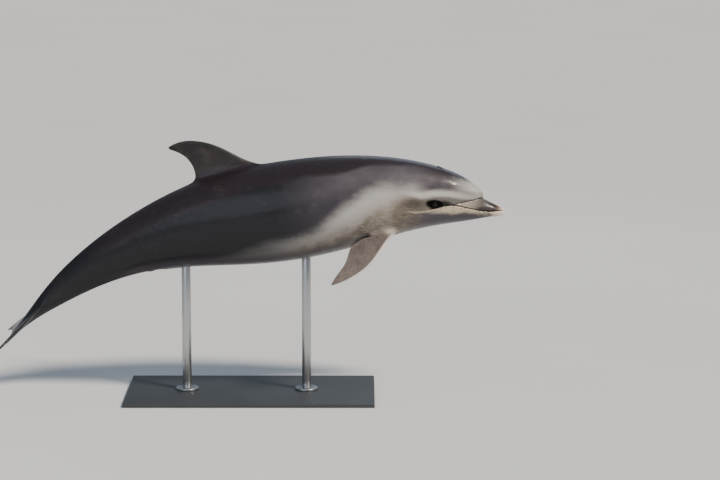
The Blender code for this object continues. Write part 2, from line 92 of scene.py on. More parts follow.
flipper = {
    "rings": (0.498, 0.655), "column": 15, "oval": 1.0, "spread": 26, "dome": 0.004, "name": "flipperShare",
    "leading": [(0, (0.510, -0.115, -0.142)), (0.12, (0.544, -0.124, -0.175)),
                (0.25, (0.577, -0.139, -0.222)), (0.4, (0.611, -0.157, -0.265)),
                (0.55, (0.649, -0.177, -0.302)), (0.7, (0.707, -0.199, -0.337)),
                (0.85, (0.783, -0.225, -0.362)), (1, (0.865, -0.250, -0.376))],
    "trailing": [(0, (0.648, -0.136, -0.163)), (0.12, (0.704, -0.156, -0.177)),
                 (0.25, (0.754, -0.172, -0.203)), (0.4, (0.774, -0.184, -0.245)),
                 (0.55, (0.791, -0.198, -0.284)), (0.7, (0.816, -0.213, -0.311)),
                 (0.85, (0.843, -0.231, -0.336)), (1, (0.872, -0.251, -0.368))],
    "halfThickness": [(0, 0.026), (0.15, 0.018), (0.5, 0.011), (1, 0.004)],
    "levels": [0.07, 0.15, 0.25, 0.36, 0.48, 0.61, 0.74, 0.85, 0.94, 1.0],
}
fluke = {
    "rings": (2.365, 2.575), "column": 10, "oval": 0.5, "spread": 0, "dome": 0.003, "name": "flukeShare",
    "leading": [(0, (2.372, -0.033, 0)), (0.12, (2.402, -0.070, 0.001)), (0.3, (2.441, -0.127, 0.003)),
                (0.5, (2.492, -0.190, 0.006)), (0.7, (2.547, -0.247, 0.010)), (0.85, (2.593, -0.285, 0.014)),
                (1, (2.643, -0.313, 0.018))],
    "trailing": [(0, (2.577, -0.022, 0)), (0.12, (2.603, -0.058, 0.001)), (0.3, (2.607, -0.112, 0.003)),
                 (0.5, (2.606, -0.172, 0.006)), (0.7, (2.614, -0.230, 0.010)), (0.85, (2.629, -0.275, 0.014)),
                 (1, (2.649, -0.309, 0.018))],
    "halfThickness": [(0, 0.007), (0.3, 0.010), (0.7, 0.007), (1, 0.0035)],
    "levels": [0.06, 0.14, 0.25, 0.38, 0.52, 0.66, 0.79, 0.89, 0.96, 1.0],
}
fins = {
    "thinEdge": 0.0012,  # least half thickness
    "firstChord": 0.02, "chordCrowding": 1.25,  # points over the chord crowd towards the leading edge
    "wingFrom": 0.3,  # the share of its span where a fin's section is a wing's
    "leastOval": 0.35, "spreadOver": 0.25, "reach": 0.05, "domeShare": 0.45,
    "sculptBelow": 0.02,  # the body's details end at this share of a fin's span
}


def spline(points, start=None):
    # natural cubic curve through (station, value) points; with a start it runs over the square root of the
    # way from there, so that it begins blunt
    stations = np.array([p[0] for p in points], float)
    values = np.array([p[1] for p in points], float)
    if start is not None:
        stations = np.sqrt(stations - start)
    count = len(stations)
    spans = np.diff(stations)
    matrix = np.eye(count)
    right = np.zeros(count)
    for i in range(1, count - 1):
        matrix[i, i - 1:i + 2] = spans[i - 1], 2 * (spans[i - 1] + spans[i]), spans[i]
        right[i] = 6 * ((values[i + 1] - values[i]) / spans[i] - (values[i] - values[i - 1]) / spans[i - 1])
    bend = np.linalg.solve(matrix, right)

    def valueAt(station):
        if start is not None:
            station = np.sqrt(np.maximum(np.asarray(station, float) - start, 0))
        station = np.clip(station, stations[0], stations[-1])
        i = np.clip(np.searchsorted(stations, station) - 1, 0, count - 2)
        step, span = station - stations[i], spans[i]
        slope = (values[i + 1] - values[i]) / span - span * (2 * bend[i] + bend[i + 1]) / 6
        return values[i] + step * (slope + step * (bend[i] / 2 + step * (bend[i + 1] - bend[i]) / (6 * span)))

    return valueAt


def eased(points):
    # eases from each (station, value) point to the next, and is level beyond the ends
    def valueAt(station):
        station = np.asarray(station, float)
        value = np.full(station.shape, float(points[0][1]))
        for (near, low), (far, high) in zip(points, points[1:]):
            share = np.clip((station - near) / (far - near), 0, 1)
            value = np.where(station >= near, low + (high - low) * share * share * (3 - 2 * share), value)
        return value

    return valueAt


beakTop = spline(body["beakTop"], start=0)
back = spline(body["back"], start=body["melonFront"])
belly = spline(body["belly"], start=0)
halfWidth = spline(body["halfWidth"], start=0)
widestLevel = spline(body["widestLevel"])
roundAbove, roundBelow = eased(body["roundAbove"]), eased(body["roundBelow"])
melonSwell, crowding = eased(body["melonSwell"]), eased(body["crowding"])

spineStations = np.linspace(0, body["length"] + 0.1, 1351)
spineSlopes = np.radians(spline(body["spineSlope"])(spineStations))
middleSlopes = (spineSlopes[1:] + spineSlopes[:-1]) / 2
spineX = body["beakTip"][0] - np.concatenate([[0], np.cumsum(np.cos(middleSlopes) * np.diff(spineStations))])
spineZ = body["beakTip"][1] - np.concatenate([[0], np.cumsum(np.sin(middleSlopes) * np.diff(spineStations))])


def inLeap(places):
    # bends straight places, one in each row, into the leap
    station, side, height = np.asarray(places, float).T
    slope = np.interp(station, spineStations, spineSlopes)
    before = np.minimum(station, 0)
    x = np.interp(station, spineStations, spineX) - before * np.cos(slope) - height * np.sin(slope)
    z = np.interp(station, spineStations, spineZ) - before * np.sin(slope) + height * np.cos(slope)
    return np.stack([x, side, z], axis=1)


ringPlaces = [body["firstRing"]]
for end, spans in body["ringRuns"]:
    start = ringPlaces[-1]
    ringPlaces += [start + (end - start) * i / spans for i in range(1, spans + 1)]
columnCount = body["columns"]
halfCount = columnCount // 2


def ringAt(station):
    return int(np.argmin(np.abs(np.array(ringPlaces) - station)))


def skinPlace(station, column):
    # column 0 is the back's midline, and columns run round by the right side
    turn = column % columnCount
    rightSide = turn <= halfCount
    step = turn if rightSide else columnCount - turn
    quarter = halfCount / 2
    above = step <= quarter
    share = step / quarter if above else (halfCount - step) / quarter
    angle = math.pi / 2 * (1 - (1 - share) ** float(crowding(station)))
    level = widestLevel(station)
    top = beakTop(station) if station < body["melonFront"] else back(station)
    reach = (top if above else belly(station)) - level
    power = float(roundAbove(station) if above else roundBelow(station))
    side = halfWidth(station) * math.sin(angle) ** power
    if above:
        side += float(melonSwell(station)) * math.sin(2 * angle) ** 1.5
    return Vector((station, -side if rightSide else side, level + reach * max(math.cos(angle), 0) ** power))


def drawnIn(ring, column):
    # columns beside a fin's root are drawn in, so that the root's outline is an oval
    for fin in (dorsalFin, flipper, fluke):
        first, last = (ringAt(s) for s in fin["rings"])
        if first <= ring <= last:
            oval = math.sqrt(max(1 - (2 * (ring - first) / (last - first) - 1) ** 2, 0))
            for middle in {fin["column"], -fin["column"]}:
                side = (column - middle + 1) % columnCount - 1
                if abs(side) == 1:
                    return column - side * (1 - max(oval, fins["leastOval"])) * fin["oval"]
    return column


def sectionShare(chord, along):
    # half thickness over the chord as part of the thickest: oval at the root, then a wing's
    wing = 2.969 * math.sqrt(chord) - 1.26 * chord - 3.516 * chord**2 + 2.843 * chord**3 - 1.036 * chord**4
    oval = math.sqrt(max(1 - (2 * chord - 1) ** 2, 0))
    return oval + (wing - oval) * min(along / fins["wingFrom"], 1)


def finPlace(fin, along, chord, lift, mirrored):
    # a place at a share of the fin's span and chord, lifted off its middle surface
    near, far = max(along - fins["reach"], 0), along + fins["reach"]
    ends = []
    for edge in ("leading", "trailing"):
        lines = [spline([(u, place[axis]) for u, place in fin[edge]]) for axis in range(3)]
        ends.append([Vector([float(line(u)) for line in lines]) for u in (along, near, far)])
    front, rear = ends[0][0], ends[1][0]
    outward = (ends[0][2] + ends[1][2]) - (ends[0][1] + ends[1][1])
    place = front.lerp(rear, chord) + outward.cross(rear - front).normalized() * lift
    if mirrored:
        turn = math.radians(fin["spread"]) * min(along / fins["spreadOver"], 1)
        root = Vector(fin["leading"][0][1])
        place = root + Matrix.Rotation(-turn, 3, "X") @ (place - root)
        place.y = -place.y
    return place


def deselectAll():
    if bpy.context.object and bpy.context.object.mode != "OBJECT":
        bpy.ops.object.mode_set(mode="OBJECT")
    bpy.ops.object.select_all(action="DESELECT")


def applyModifiers(piece):
    deselectAll()
    bpy.context.view_layer.objects.active = piece
    piece.select_set(True)
    for modifier in list(piece.modifiers):
        bpy.ops.object.modifier_apply(modifier=modifier.name)


def growFin(skin, fin, mirrored):
    # extrudes the fin from a patch of skin two faces wide, level by level
    first, last = (ringAt(s) for s in fin["rings"])
    middle = -fin["column"] if mirrored else fin["column"]
    patch = {(r, (middle + c) % columnCount) for r in range(first, last + 1) for c in (-1, 0, 1)}
    thickness = spline(fin["halfThickness"])
    bpy.ops.object.mode_set(mode="EDIT")
    bpy.ops.mesh.select_mode(type="FACE")
    bpy.ops.mesh.select_all(action="DESELECT")
    mesh = bmesh.from_edit_mesh(skin.data)
    rings, columns = mesh.verts.layers.int["ring"], mesh.verts.layers.int["column"]
    for face in mesh.faces:
        face.select_set(all((v[rings], v[columns]) in patch for v in face.verts))
    for along in fin["levels"]:
        bpy.ops.mesh.extrude_region_move()
        mesh = bmesh.from_edit_mesh(skin.data)
        rings, columns = mesh.verts.layers.int["ring"], mesh.verts.layers.int["column"]
        share, chords = mesh.verts.layers.float[fin["name"]], mesh.verts.layers.float["chordShare"]
        for vertex in (v for v in mesh.verts if v.select):
            step = (vertex[rings] - first) / (last - first)
            side = (vertex[columns] - middle + 1) % columnCount - 1
            chord = fins["firstChord"] + (1 - 2 * fins["firstChord"]) * step ** fins["chordCrowding"]
            if side == 0 and step in (0, 1):
                chord = step
            lift = max(float(thickness(along)) * sectionShare(chord, along), fins["thinEdge"])
            vertex.co = finPlace(fin, along, chord, lift * (side if mirrored else -side), mirrored)
            vertex[share], vertex[chords] = along, chord
    tip = [v for v in mesh.verts if v.select]
    tipMiddle = sum((v.co for v in tip), Vector()) / len(tip)
    inner = finPlace(fin, fin["levels"][-2], 0.5, 0, mirrored)
    out = (tipMiddle - inner).normalized()
    bpy.ops.mesh.extrude_region_move()  # a small dome closes the tip
    mesh = bmesh.from_edit_mesh(skin.data)
    for vertex in (v for v in mesh.verts if v.select):
        vertex.co = tipMiddle + (vertex.co - tipMiddle) * fins["domeShare"] + out * fin["dome"]
    bmesh.update_edit_mesh(skin.data)
    bpy.ops.object.mode_set(mode="OBJECT")


def makeSkin():
    deselectAll()
    bpy.ops.mesh.primitive_cylinder_add(vertices=columnCount, radius=1, depth=1, end_fill_type="NGON")
    skin = bpy.context.object
    skin.name = skin.data.name = "dolphin_skin"
    bpy.ops.object.mode_set(mode="EDIT")
    mesh = bmesh.from_edit_mesh(skin.data)
    for face in mesh.faces:
        face.select_set(False)
    for edge in mesh.edges:
        edge.select_set(abs(edge.verts[0].co.z - edge.verts[1].co.z) > 0.5)
    bmesh.update_edit_mesh(skin.data)
    bpy.ops.mesh.subdivide(number_cuts=len(ringPlaces) - 2)
    bpy.ops.object.mode_set(mode="OBJECT")
    for name in ("ring", "column"):
        skin.data.attributes.new(name, "INT", "POINT")
    for name in ("dorsalShare", "flipperShare", "flukeShare", "chordShare"):
        skin.data.attributes.new(name, "FLOAT", "POINT")
    for number, vertex in enumerate(skin.data.vertices):
        ring = round((vertex.co.z + 0.5) * (len(ringPlaces) - 1))
        column = round(math.atan2(vertex.co.y, vertex.co.x) / (2 * math.pi) * columnCount) % columnCount
        skin.data.attributes["ring"].data[number].value = ring
        skin.data.attributes["column"].data[number].value = column
        vertex.co = skinPlace(ringPlaces[ring], drawnIn(ring, column))
    growFin(skin, dorsalFin, False)
    for fin in (flipper, fluke):
        growFin(skin, fin, False)
        growFin(skin, fin, True)
    smooth = skin.modifiers.new("Smooth", "SUBSURF")
    smooth.levels = smooth.render_levels = 2
    applyModifiers(skin)
    bpy.ops.object.mode_set(mode="EDIT")
    bpy.ops.mesh.select_all(action="SELECT")
    bpy.ops.mesh.normals_make_consistent(inside=False)
    bpy.ops.object.mode_set(mode="OBJECT")
    return skin


print("stage: the skin's cage")
skin = makeSkin()
print("skin:", len(skin.data.vertices), "points")

# Folds and openings of the skin, in metres. Depths and rises are along the surface's normal, and each
# fades out over its half width.
details = {
    # the head's sides lie beyond the first, the back above the second and the underside below the third
    "headSide": 0.08, "back": 0.1, "underside": -0.1,
    # mouth: lips that meet in a groove; lips are level, half width; folds at the gape are how far
    # behind it, level, flatness, half width, rise
    "gape": 0.366, "mouthStart": 0.004, "mouthSoft": 0.003, "beakSide": 0.002,
    "mouthDepth": 0.0042, "mouthHalf": 0.0024, "lipRise": 0.0014,
    "lips": [(0.0065, 0.004), (-0.0075, 0.0045)],
    "gapeFolds": [(0.004, -0.001, 1.4, 0.006, -0.0016), (0.015, -0.006, 1, 0.011, 0.0022)],
    # the crease where the melon overhangs the beak, and the melon's lower edge above it
    "creaseLine": [(0.100, 0.0600), (0.115, 0.0529), (0.133, 0.0491), (0.156, 0.0391), (0.179, 0.0304),
                   (0.202, 0.0231), (0.226, 0.0144), (0.249, 0.0072), (0.272, 0.0004), (0.29, -0.004)],
    "creaseEnds": (0.108, 0.268, 0.006), "creaseSlant": 0.93, "creaseFade": [(0.12, 1), (0.27, 0.45)],
    "creaseBelow": 0.002, "creaseSide": 0.012,
    "creaseDepth": 0.0050, "creaseHalf": 0.0030, "melonRise": 0.0030, "melonRim": (0.011, 0.009),
    # eye: an almond opening whose lids follow the eyeball, on a low mound
    "eyeStation": 0.347, "eyeHeight": -0.003, "eyeRadius": 0.017, "eyeProud": 0.006,
    "eyeSlit": (0.0142, 0.0070), "eyeTilt": 8, "eyeSunk": 0.0032, "eyeReach": (0.27, 0.43), "lidReach": 0.022,
    "lidThickness": 0.0009, "lidEdge": (0.92, 0.025), "lidRim": (1.18, 0.13, 0.0009), "rimSnap": 0.0005,
    "mound": (0.0030, 0.030), "lidFold": (0.0215, 0.0165, 0.10, 0.0012), "lidFoldReach": 0.04,
    # blowhole: a crescent whose ends point forward, with a raised rim and a hollow inside it
    "blowholeStation": 0.330, "blowholeRadius": 0.0165, "blowholeDepth": 0.006, "blowholeHalf": 0.0026,
    "blowholeTurn": (98, 0.12), "blowholeEnd": 0.42, "blowholeRim": (0.006, 0.004, 0.0022),
    "hollow": (0.328, 0.012, 0.016, 0.0016),
    # ear: station, height, half width, depth; navel: station, how many times longer than wide, half
    # width, depth
    "ear": (0.402, -0.010, 0.0045, 0.0018), "navel": (1.17, 2.0, 0.006, 0.0035),
    # slits on the belly's midline, between two low lips
    "slits": [(1.60, 1.74, 0.006), (1.785, 1.815, 0.004)], "slitDepth": 0.0045, "slitHalf": 0.0034,
    "slitLip": (0.009, 0.006, 0.0030),
    # soft folds of the bent neck: station, depth
    "neckFolds": [(0.415, 0.0010), (0.447, 0.0013), (0.470, 0.0007), (0.508, 0.0009)],
    "neckFoldHalf": 0.006, "neckFoldSlant": 0.30, "neckFoldLevel": -0.10,
    "neckFoldHeights": (-0.185, -0.085, 0.010), "neckFoldWave": (0.006, 70, 90),
    # the skin's fold behind the root of a flipper
    "flipperFold": [(0.60, -0.158), (0.652, -0.166), (0.693, -0.175), (0.723, -0.188), (0.751, -0.211),
                    (0.79, -0.24)],
    "flipperFoldEnds": (0.63, 0.76, 0.008), "flipperFoldSide": 0.05,
    "flipperFoldDepth": 0.0030, "flipperFoldHalf": 0.0045,
}
# where the skin gets finer faces
fine = {
    "mouthEnd": 0.385, "mouthBand": 0.009,
    "creaseEnds": (0.108, 0.28), "creaseBand": 0.011, "creaseFoot": -0.005,
    "eye": (0.032, 0.024), "rimBand": 0.30, "blowhole": (0.338, 0.036), "slits": (1.70, 0.16, 0.024),
}
mouthLevel = widestLevel
creaseLevel = spline(details["creaseLine"])
flipperFold = spline(details["flipperFold"])
eyeTilt = (math.cos(math.radians(details["eyeTilt"])), math.sin(math.radians(details["eyeTilt"])))


def pointArrays(piece):
    count = len(piece.data.vertices)
    places, normals = np.zeros(count * 3), np.zeros(count * 3)
    piece.data.vertices.foreach_get("co", places)
    piece.data.vertex_normals.foreach_get("vector", normals)
    return places.reshape(-1, 3), normals.reshape(-1, 3)


def refine(piece, region, cuts):
    # splits the faces whose points all lie in a region of the straight animal
    places, _ = pointArrays(piece)
    inside = region(*places.T)
    bpy.context.view_layer.objects.active = piece
    bpy.ops.object.mode_set(mode="EDIT")
    bpy.ops.mesh.select_mode(type="FACE")
    bpy.ops.mesh.select_all(action="DESELECT")
    mesh = bmesh.from_edit_mesh(piece.data)
    for face in mesh.faces:
        face.select_set(all(inside[v.index] for v in face.verts))
    bmesh.update_edit_mesh(piece.data)
    bpy.ops.mesh.subdivide(number_cuts=cuts, smoothness=1, ngon=False)
    bpy.ops.object.mode_set(mode="OBJECT")


def bump(distance, half):
    return np.exp(-((distance / half) ** 2))


def between(value, low, high, soft):
    # 1 between low and high, easing out over soft
    return 1 / (1 + np.exp(-(value - low) / soft)) / (1 + np.exp((value - high) / soft))


def eyeOval(s, h):
    # across a tilted almond: 0 at the eye's middle and 1 on the rim of the lids
    u, v = s - details["eyeStation"], h - details["eyeHeight"]
    along, across = u * eyeTilt[0] - v * eyeTilt[1], u * eyeTilt[1] + v * eyeTilt[0]
    return np.hypot(along / details["eyeSlit"][0], across / details["eyeSlit"][1])


def atCrease(s, y, h):
    # regions of the straight skin, by station, side and height
    start, end = fine["creaseEnds"]
    near = np.abs(h - creaseLevel(s)) < fine["creaseBand"]
    return (s > start) & (s < end) & near & (h > fine["creaseFoot"])


def atEye(s, y, h):
    long, tall = fine["eye"]
    return ((s - details["eyeStation"]) / long) ** 2 + ((h - details["eyeHeight"]) / tall) ** 2 < 1


def atBlowhole(s, y, h):
    return (np.hypot(s - fine["blowhole"][0], y) < fine["blowhole"][1]) & (h > details["back"])


def atSlits(s, y, h):
    middle, long, wide = fine["slits"]
    return (np.abs(y) < wide) & (h < details["underside"]) & (np.abs(s - middle) < long)


refine(skin, lambda s, y, h: (s < fine["mouthEnd"]) & (np.abs(h - mouthLevel(s)) < fine["mouthBand"]), 1)
refine(skin, atCrease, 1)
refine(skin, atEye, 2)
refine(skin, lambda s, y, h: np.abs(eyeOval(s, h) - 1) < fine["rimBand"], 1)
refine(skin, atBlowhole, 3)
refine(skin, atSlits, 2)
print("skin refined:", len(skin.data.vertices), "points")


def drawnToRim(places):
    # moves the points beside the rim of the lids onto it, so that the rim is one clean line
    s, y, h = places.T
    oval, reach = eyeOval(s, h), np.hypot(s - details["eyeStation"], h - details["eyeHeight"])
    toRim = 1 / np.maximum(oval, 0.01)
    near = (np.abs(y) > details["headSide"]) & (np.abs(1 - toRim) * reach < details["rimSnap"])
    drawn = np.where(near, toRim, 1)
    return np.stack([details["eyeStation"] + (s - details["eyeStation"]) * drawn, y,
                     details["eyeHeight"] + (h - details["eyeHeight"]) * drawn], axis=1)


def sculpt(places):
    # how far each point of the straight skin moves out along its normal
    s, y, h = places.T
    side = np.abs(y)
    move = np.zeros(len(s))
    # mouth
    gap = h - mouthLevel(s)
    onLips = between(s, details["mouthStart"], details["gape"], details["mouthSoft"])
    onLips = onLips * (side > details["beakSide"])
    move -= details["mouthDepth"] * bump(gap, details["mouthHalf"]) * onLips
    for level, half in details["lips"]:
        move += details["lipRise"] * bump(gap - level, half) * onLips
    for behind, level, flatness, half, rise in details["gapeFolds"]:
        move += rise * bump(np.hypot(s - details["gape"] - behind, (gap - level) * flatness), half)
    # crease between the beak and the melon
    aboveCrease = (h - creaseLevel(s)) * details["creaseSlant"]
    onCrease = between(s, *details["creaseEnds"]) * (h > mouthLevel(s) - details["creaseBelow"])
    onCrease = onCrease * np.interp(s, *zip(*details["creaseFade"]))
    rimAbove, rimHalf = details["melonRim"]
    move -= details["creaseDepth"] * bump(aboveCrease, details["creaseHalf"]) * onCrease
    move += details["melonRise"] * bump(aboveCrease - rimAbove, rimHalf) * onCrease
    # eye
    u, v = s - details["eyeStation"], h - details["eyeHeight"]
    nearEye = (side > details["headSide"]) & (s > details["eyeReach"][0]) & (s < details["eyeReach"][1])
    slit, radius = eyeOval(s, h), np.hypot(u, v)
    ball = np.sqrt(np.maximum(details["eyeRadius"] ** 2 - radius**2, 0))
    ball += details["eyeProud"] - details["eyeRadius"]
    mound = details["mound"][0] * bump(radius, details["mound"][1])
    lid = np.maximum(ball + details["lidThickness"], mound)
    shut = 1 / (1 + np.exp(-(slit - details["lidEdge"][0]) / details["lidEdge"][1]))
    lid = lid * shut + (ball - details["eyeSunk"]) * (1 - shut)
    eye = np.where(radius < details["lidReach"], lid, mound)
    rimAt, rimHalf, rimRise = details["lidRim"]
    eye += rimRise * bump(slit - rimAt, rimHalf)
    foldLong, foldTall, foldHalf, foldDepth = details["lidFold"]
    lidFold = bump(np.hypot(u / foldLong, v / foldTall) - 1, foldHalf) * (radius < details["lidFoldReach"])
    move += (eye - foldDepth * lidFold) * nearEye
    # blowhole
    onBack = h > details["back"]
    ring = np.hypot(s - details["blowholeStation"], y) - details["blowholeRadius"]
    turn = np.arctan2(side, s - details["blowholeStation"])
    turnEnd, turnSoft = details["blowholeTurn"]
    crescent = 1 / (1 + np.exp((turn - math.radians(turnEnd)) / turnSoft))
    crescent = crescent * (onBack & (s < details["blowholeEnd"]))
    move -= details["blowholeDepth"] * bump(ring, details["blowholeHalf"]) * crescent
    rimOut, rimHalf, rimRise = details["blowholeRim"]
    move += rimRise * bump(ring - rimOut, rimHalf) * crescent
    station, long, wide, depth = details["hollow"]
    move -= depth * bump(np.hypot((s - station) / long, y / wide), 1) * onBack
    # ear, navel, and the slits of the belly
    station, height, half, depth = details["ear"]
    move -= depth * bump(np.hypot(s - station, h - height), half)
    onMidline = h < details["underside"]
    station, length, half, depth = details["navel"]
    move -= depth * bump(np.hypot((s - station) / length, y), half) * onMidline
    slitLine = sum(between(s, *ends) for ends in details["slits"]) * onMidline
    move -= details["slitDepth"] * bump(y, details["slitHalf"]) * slitLine
    lipOut, lipHalf, lipRise = details["slitLip"]
    move += lipRise * bump(side - lipOut, lipHalf) * slitLine
    # folds behind the jaw and over the chest, and behind the flipper
    swing, perHeight, perStation = details["neckFoldWave"]
    for station, depth in details["neckFolds"]:
        wave = swing * np.sin(h * perHeight + station * perStation)
        line = s + details["neckFoldSlant"] * (h - details["neckFoldLevel"]) + wave - station
        move -= depth * bump(line, details["neckFoldHalf"]) * between(h, *details["neckFoldHeights"])
    onFold = between(s, *details["flipperFoldEnds"]) * (side > details["flipperFoldSide"])
    move -= details["flipperFoldDepth"] * bump(h - flipperFold(s), details["flipperFoldHalf"]) * onFold
    return move


def addValues(piece, name, values):
    kind = "FLOAT_VECTOR" if values.ndim == 2 else "FLOAT"
    made = piece.data.attributes.new(name, kind, "POINT")
    made.data.foreach_set("vector" if values.ndim == 2 else "value", values.astype(np.float32).ravel())


# Where the colours of the skin lie: heights over stations, in metres, the same on both sides.
markings = {
    "capeEdge": [(0.10, 0.16), (0.17, 0.128), (0.219, 0.121), (0.271, 0.129), (0.318, 0.137),
                 (0.371, 0.150), (0.422, 0.161), (0.491, 0.165), (0.623, 0.167), (0.692, 0.157),
                 (0.761, 0.142), (0.90, 0.137), (1.05, 0.128), (1.3, 0.10), (1.6, 0.06), (2.6, 0.0)],
    "bandTop": [(0.38, 0.070), (0.428, 0.070), (0.519, 0.066), (0.624, 0.063), (0.677, 0.042), (0.732, 0.009),
                (0.808, -0.038), (0.866, -0.086), (0.926, -0.122), (0.99, -0.143), (1.06, -0.152),
                (1.212, -0.172), (1.396, -0.203), (1.6, -0.190), (1.85, -0.145), (2.1, -0.110), (2.6, -0.06)],
    "bandFoot": [(0.38, 0.040), (0.423, 0.030), (0.498, 0.019), (0.551, -0.007), (0.606, -0.025),
                 (0.680, -0.066), (0.738, -0.099), (0.817, -0.128), (0.896, -0.154), (1.0, -0.184),
                 (1.1, -0.25), (2.6, -0.40)],
    "stripeLine": [(0.14, 0.050), (0.19, 0.050), (0.24, 0.051), (0.30, 0.053), (0.36, 0.045), (0.42, 0.036),
                   (0.46, 0.040), (0.50, 0.050)],
    "lipTail": [(0.30, -0.012), (0.326, -0.021), (0.38, -0.037), (0.436, -0.046), (0.50, -0.046)],
    "lipFoot": [(0, -0.024), (0.029, -0.024), (0.090, -0.031), (0.143, -0.029), (0.203, -0.027),
                (0.246, -0.038), (0.294, -0.042), (0.359, -0.043), (0.40, -0.045)],
}


def markSkin(piece, places):
    s, y, h = places.T
    side = np.abs(y)
    lines = {name: spline(points) for name, points in markings.items()}
    addValues(piece, "bodyPlace", places)
    # about metres round the body, and more on the slim beak, where a pattern would shrink
    around = np.arctan2(side, h - mouthLevel(s)) * 0.88 * (halfWidth(s) + 0.03)
    addValues(piece, "surfacePlace", np.stack([s, around, np.zeros(len(s))], axis=1))
    lines.update(flipperFold=flipperFold, mouth=mouthLevel)
    for name, line in (("offFold", "flipperFold"), ("aboveCape", "capeEdge"), ("aboveBand", "bandTop"),
                       ("aboveBandFoot", "bandFoot"), ("offStripe", "stripeLine"), ("aboveMouth", "mouth"),
                       ("aboveLipFoot", "lipFoot"), ("offLipTail", "lipTail")):
        addValues(piece, name, h - lines[line](s))
    # on the top of the beak the crease is the melon's front
    addValues(piece, "aboveCrease", np.where(
        side > details["creaseSide"], h - creaseLevel(s), (s - body["melonFront"]) * 2))
    addValues(piece, "bellyShare", np.clip((h - widestLevel(s)) / (belly(s) - widestLevel(s)), 0, 1))


flatPlaces, normals = pointArrays(skin)
flatPlaces = drawnToRim(flatPlaces)
markSkin(skin, flatPlaces)
finShare = sum(np.array([d.value for d in skin.data.attributes[n].data])
               for n in ("dorsalShare", "flipperShare", "flukeShare"))
moves = sculpt(flatPlaces) * (finShare < fins["sculptBelow"])
shaped = flatPlaces + normals * moves[:, None]
skin.data.vertices.foreach_set("co", inLeap(shaped).ravel())
for name in ("ring", "column"):
    skin.data.attributes.remove(skin.data.attributes[name])
skin.data.update()
deselectAll()
skin.select_set(True)
bpy.context.view_layer.objects.active = skin
bpy.ops.object.mode_set(mode="EDIT")
bpy.ops.mesh.select_all(action="SELECT")
bpy.ops.mesh.normals_make_consistent(inside=False)  # the leap runs the other way along X
bpy.ops.object.mode_set(mode="OBJECT")
bpy.ops.object.shade_smooth()
print("stage: the skin is bent into its leap")


# Materials


def colour(code):
    # sRGB hex to linear
    parts = [int(code[i:i + 2], 16) / 255 for i in (1, 3, 5)]
    return tuple(c / 12.92 if c <= 0.04045 else ((c + 0.055) / 1.055) ** 2.4 for c in parts) + (1.0,)


def addNode(tree, kind, inputs=None, give=0, **settings):
    # gives the output that give names, or all of them for None
    node = tree.nodes.new(kind)
    for name, value in settings.items():
        setattr(node, name, value)
    for name, value in (inputs or {}).items():
        if isinstance(value, bpy.types.NodeSocket):
            tree.links.new(value, node.inputs[name])
        else:
            node.inputs[name].default_value = value
    return node.outputs if give is None else node.outputs[give]


def newMaterial(name, values):
    made = bpy.data.materials.new(name)
    made.use_nodes = True
    shader = made.node_tree.nodes["Principled BSDF"]
    for socket, value in values.items():
        shader.inputs[socket].default_value = value
    return made, made.node_tree, shader


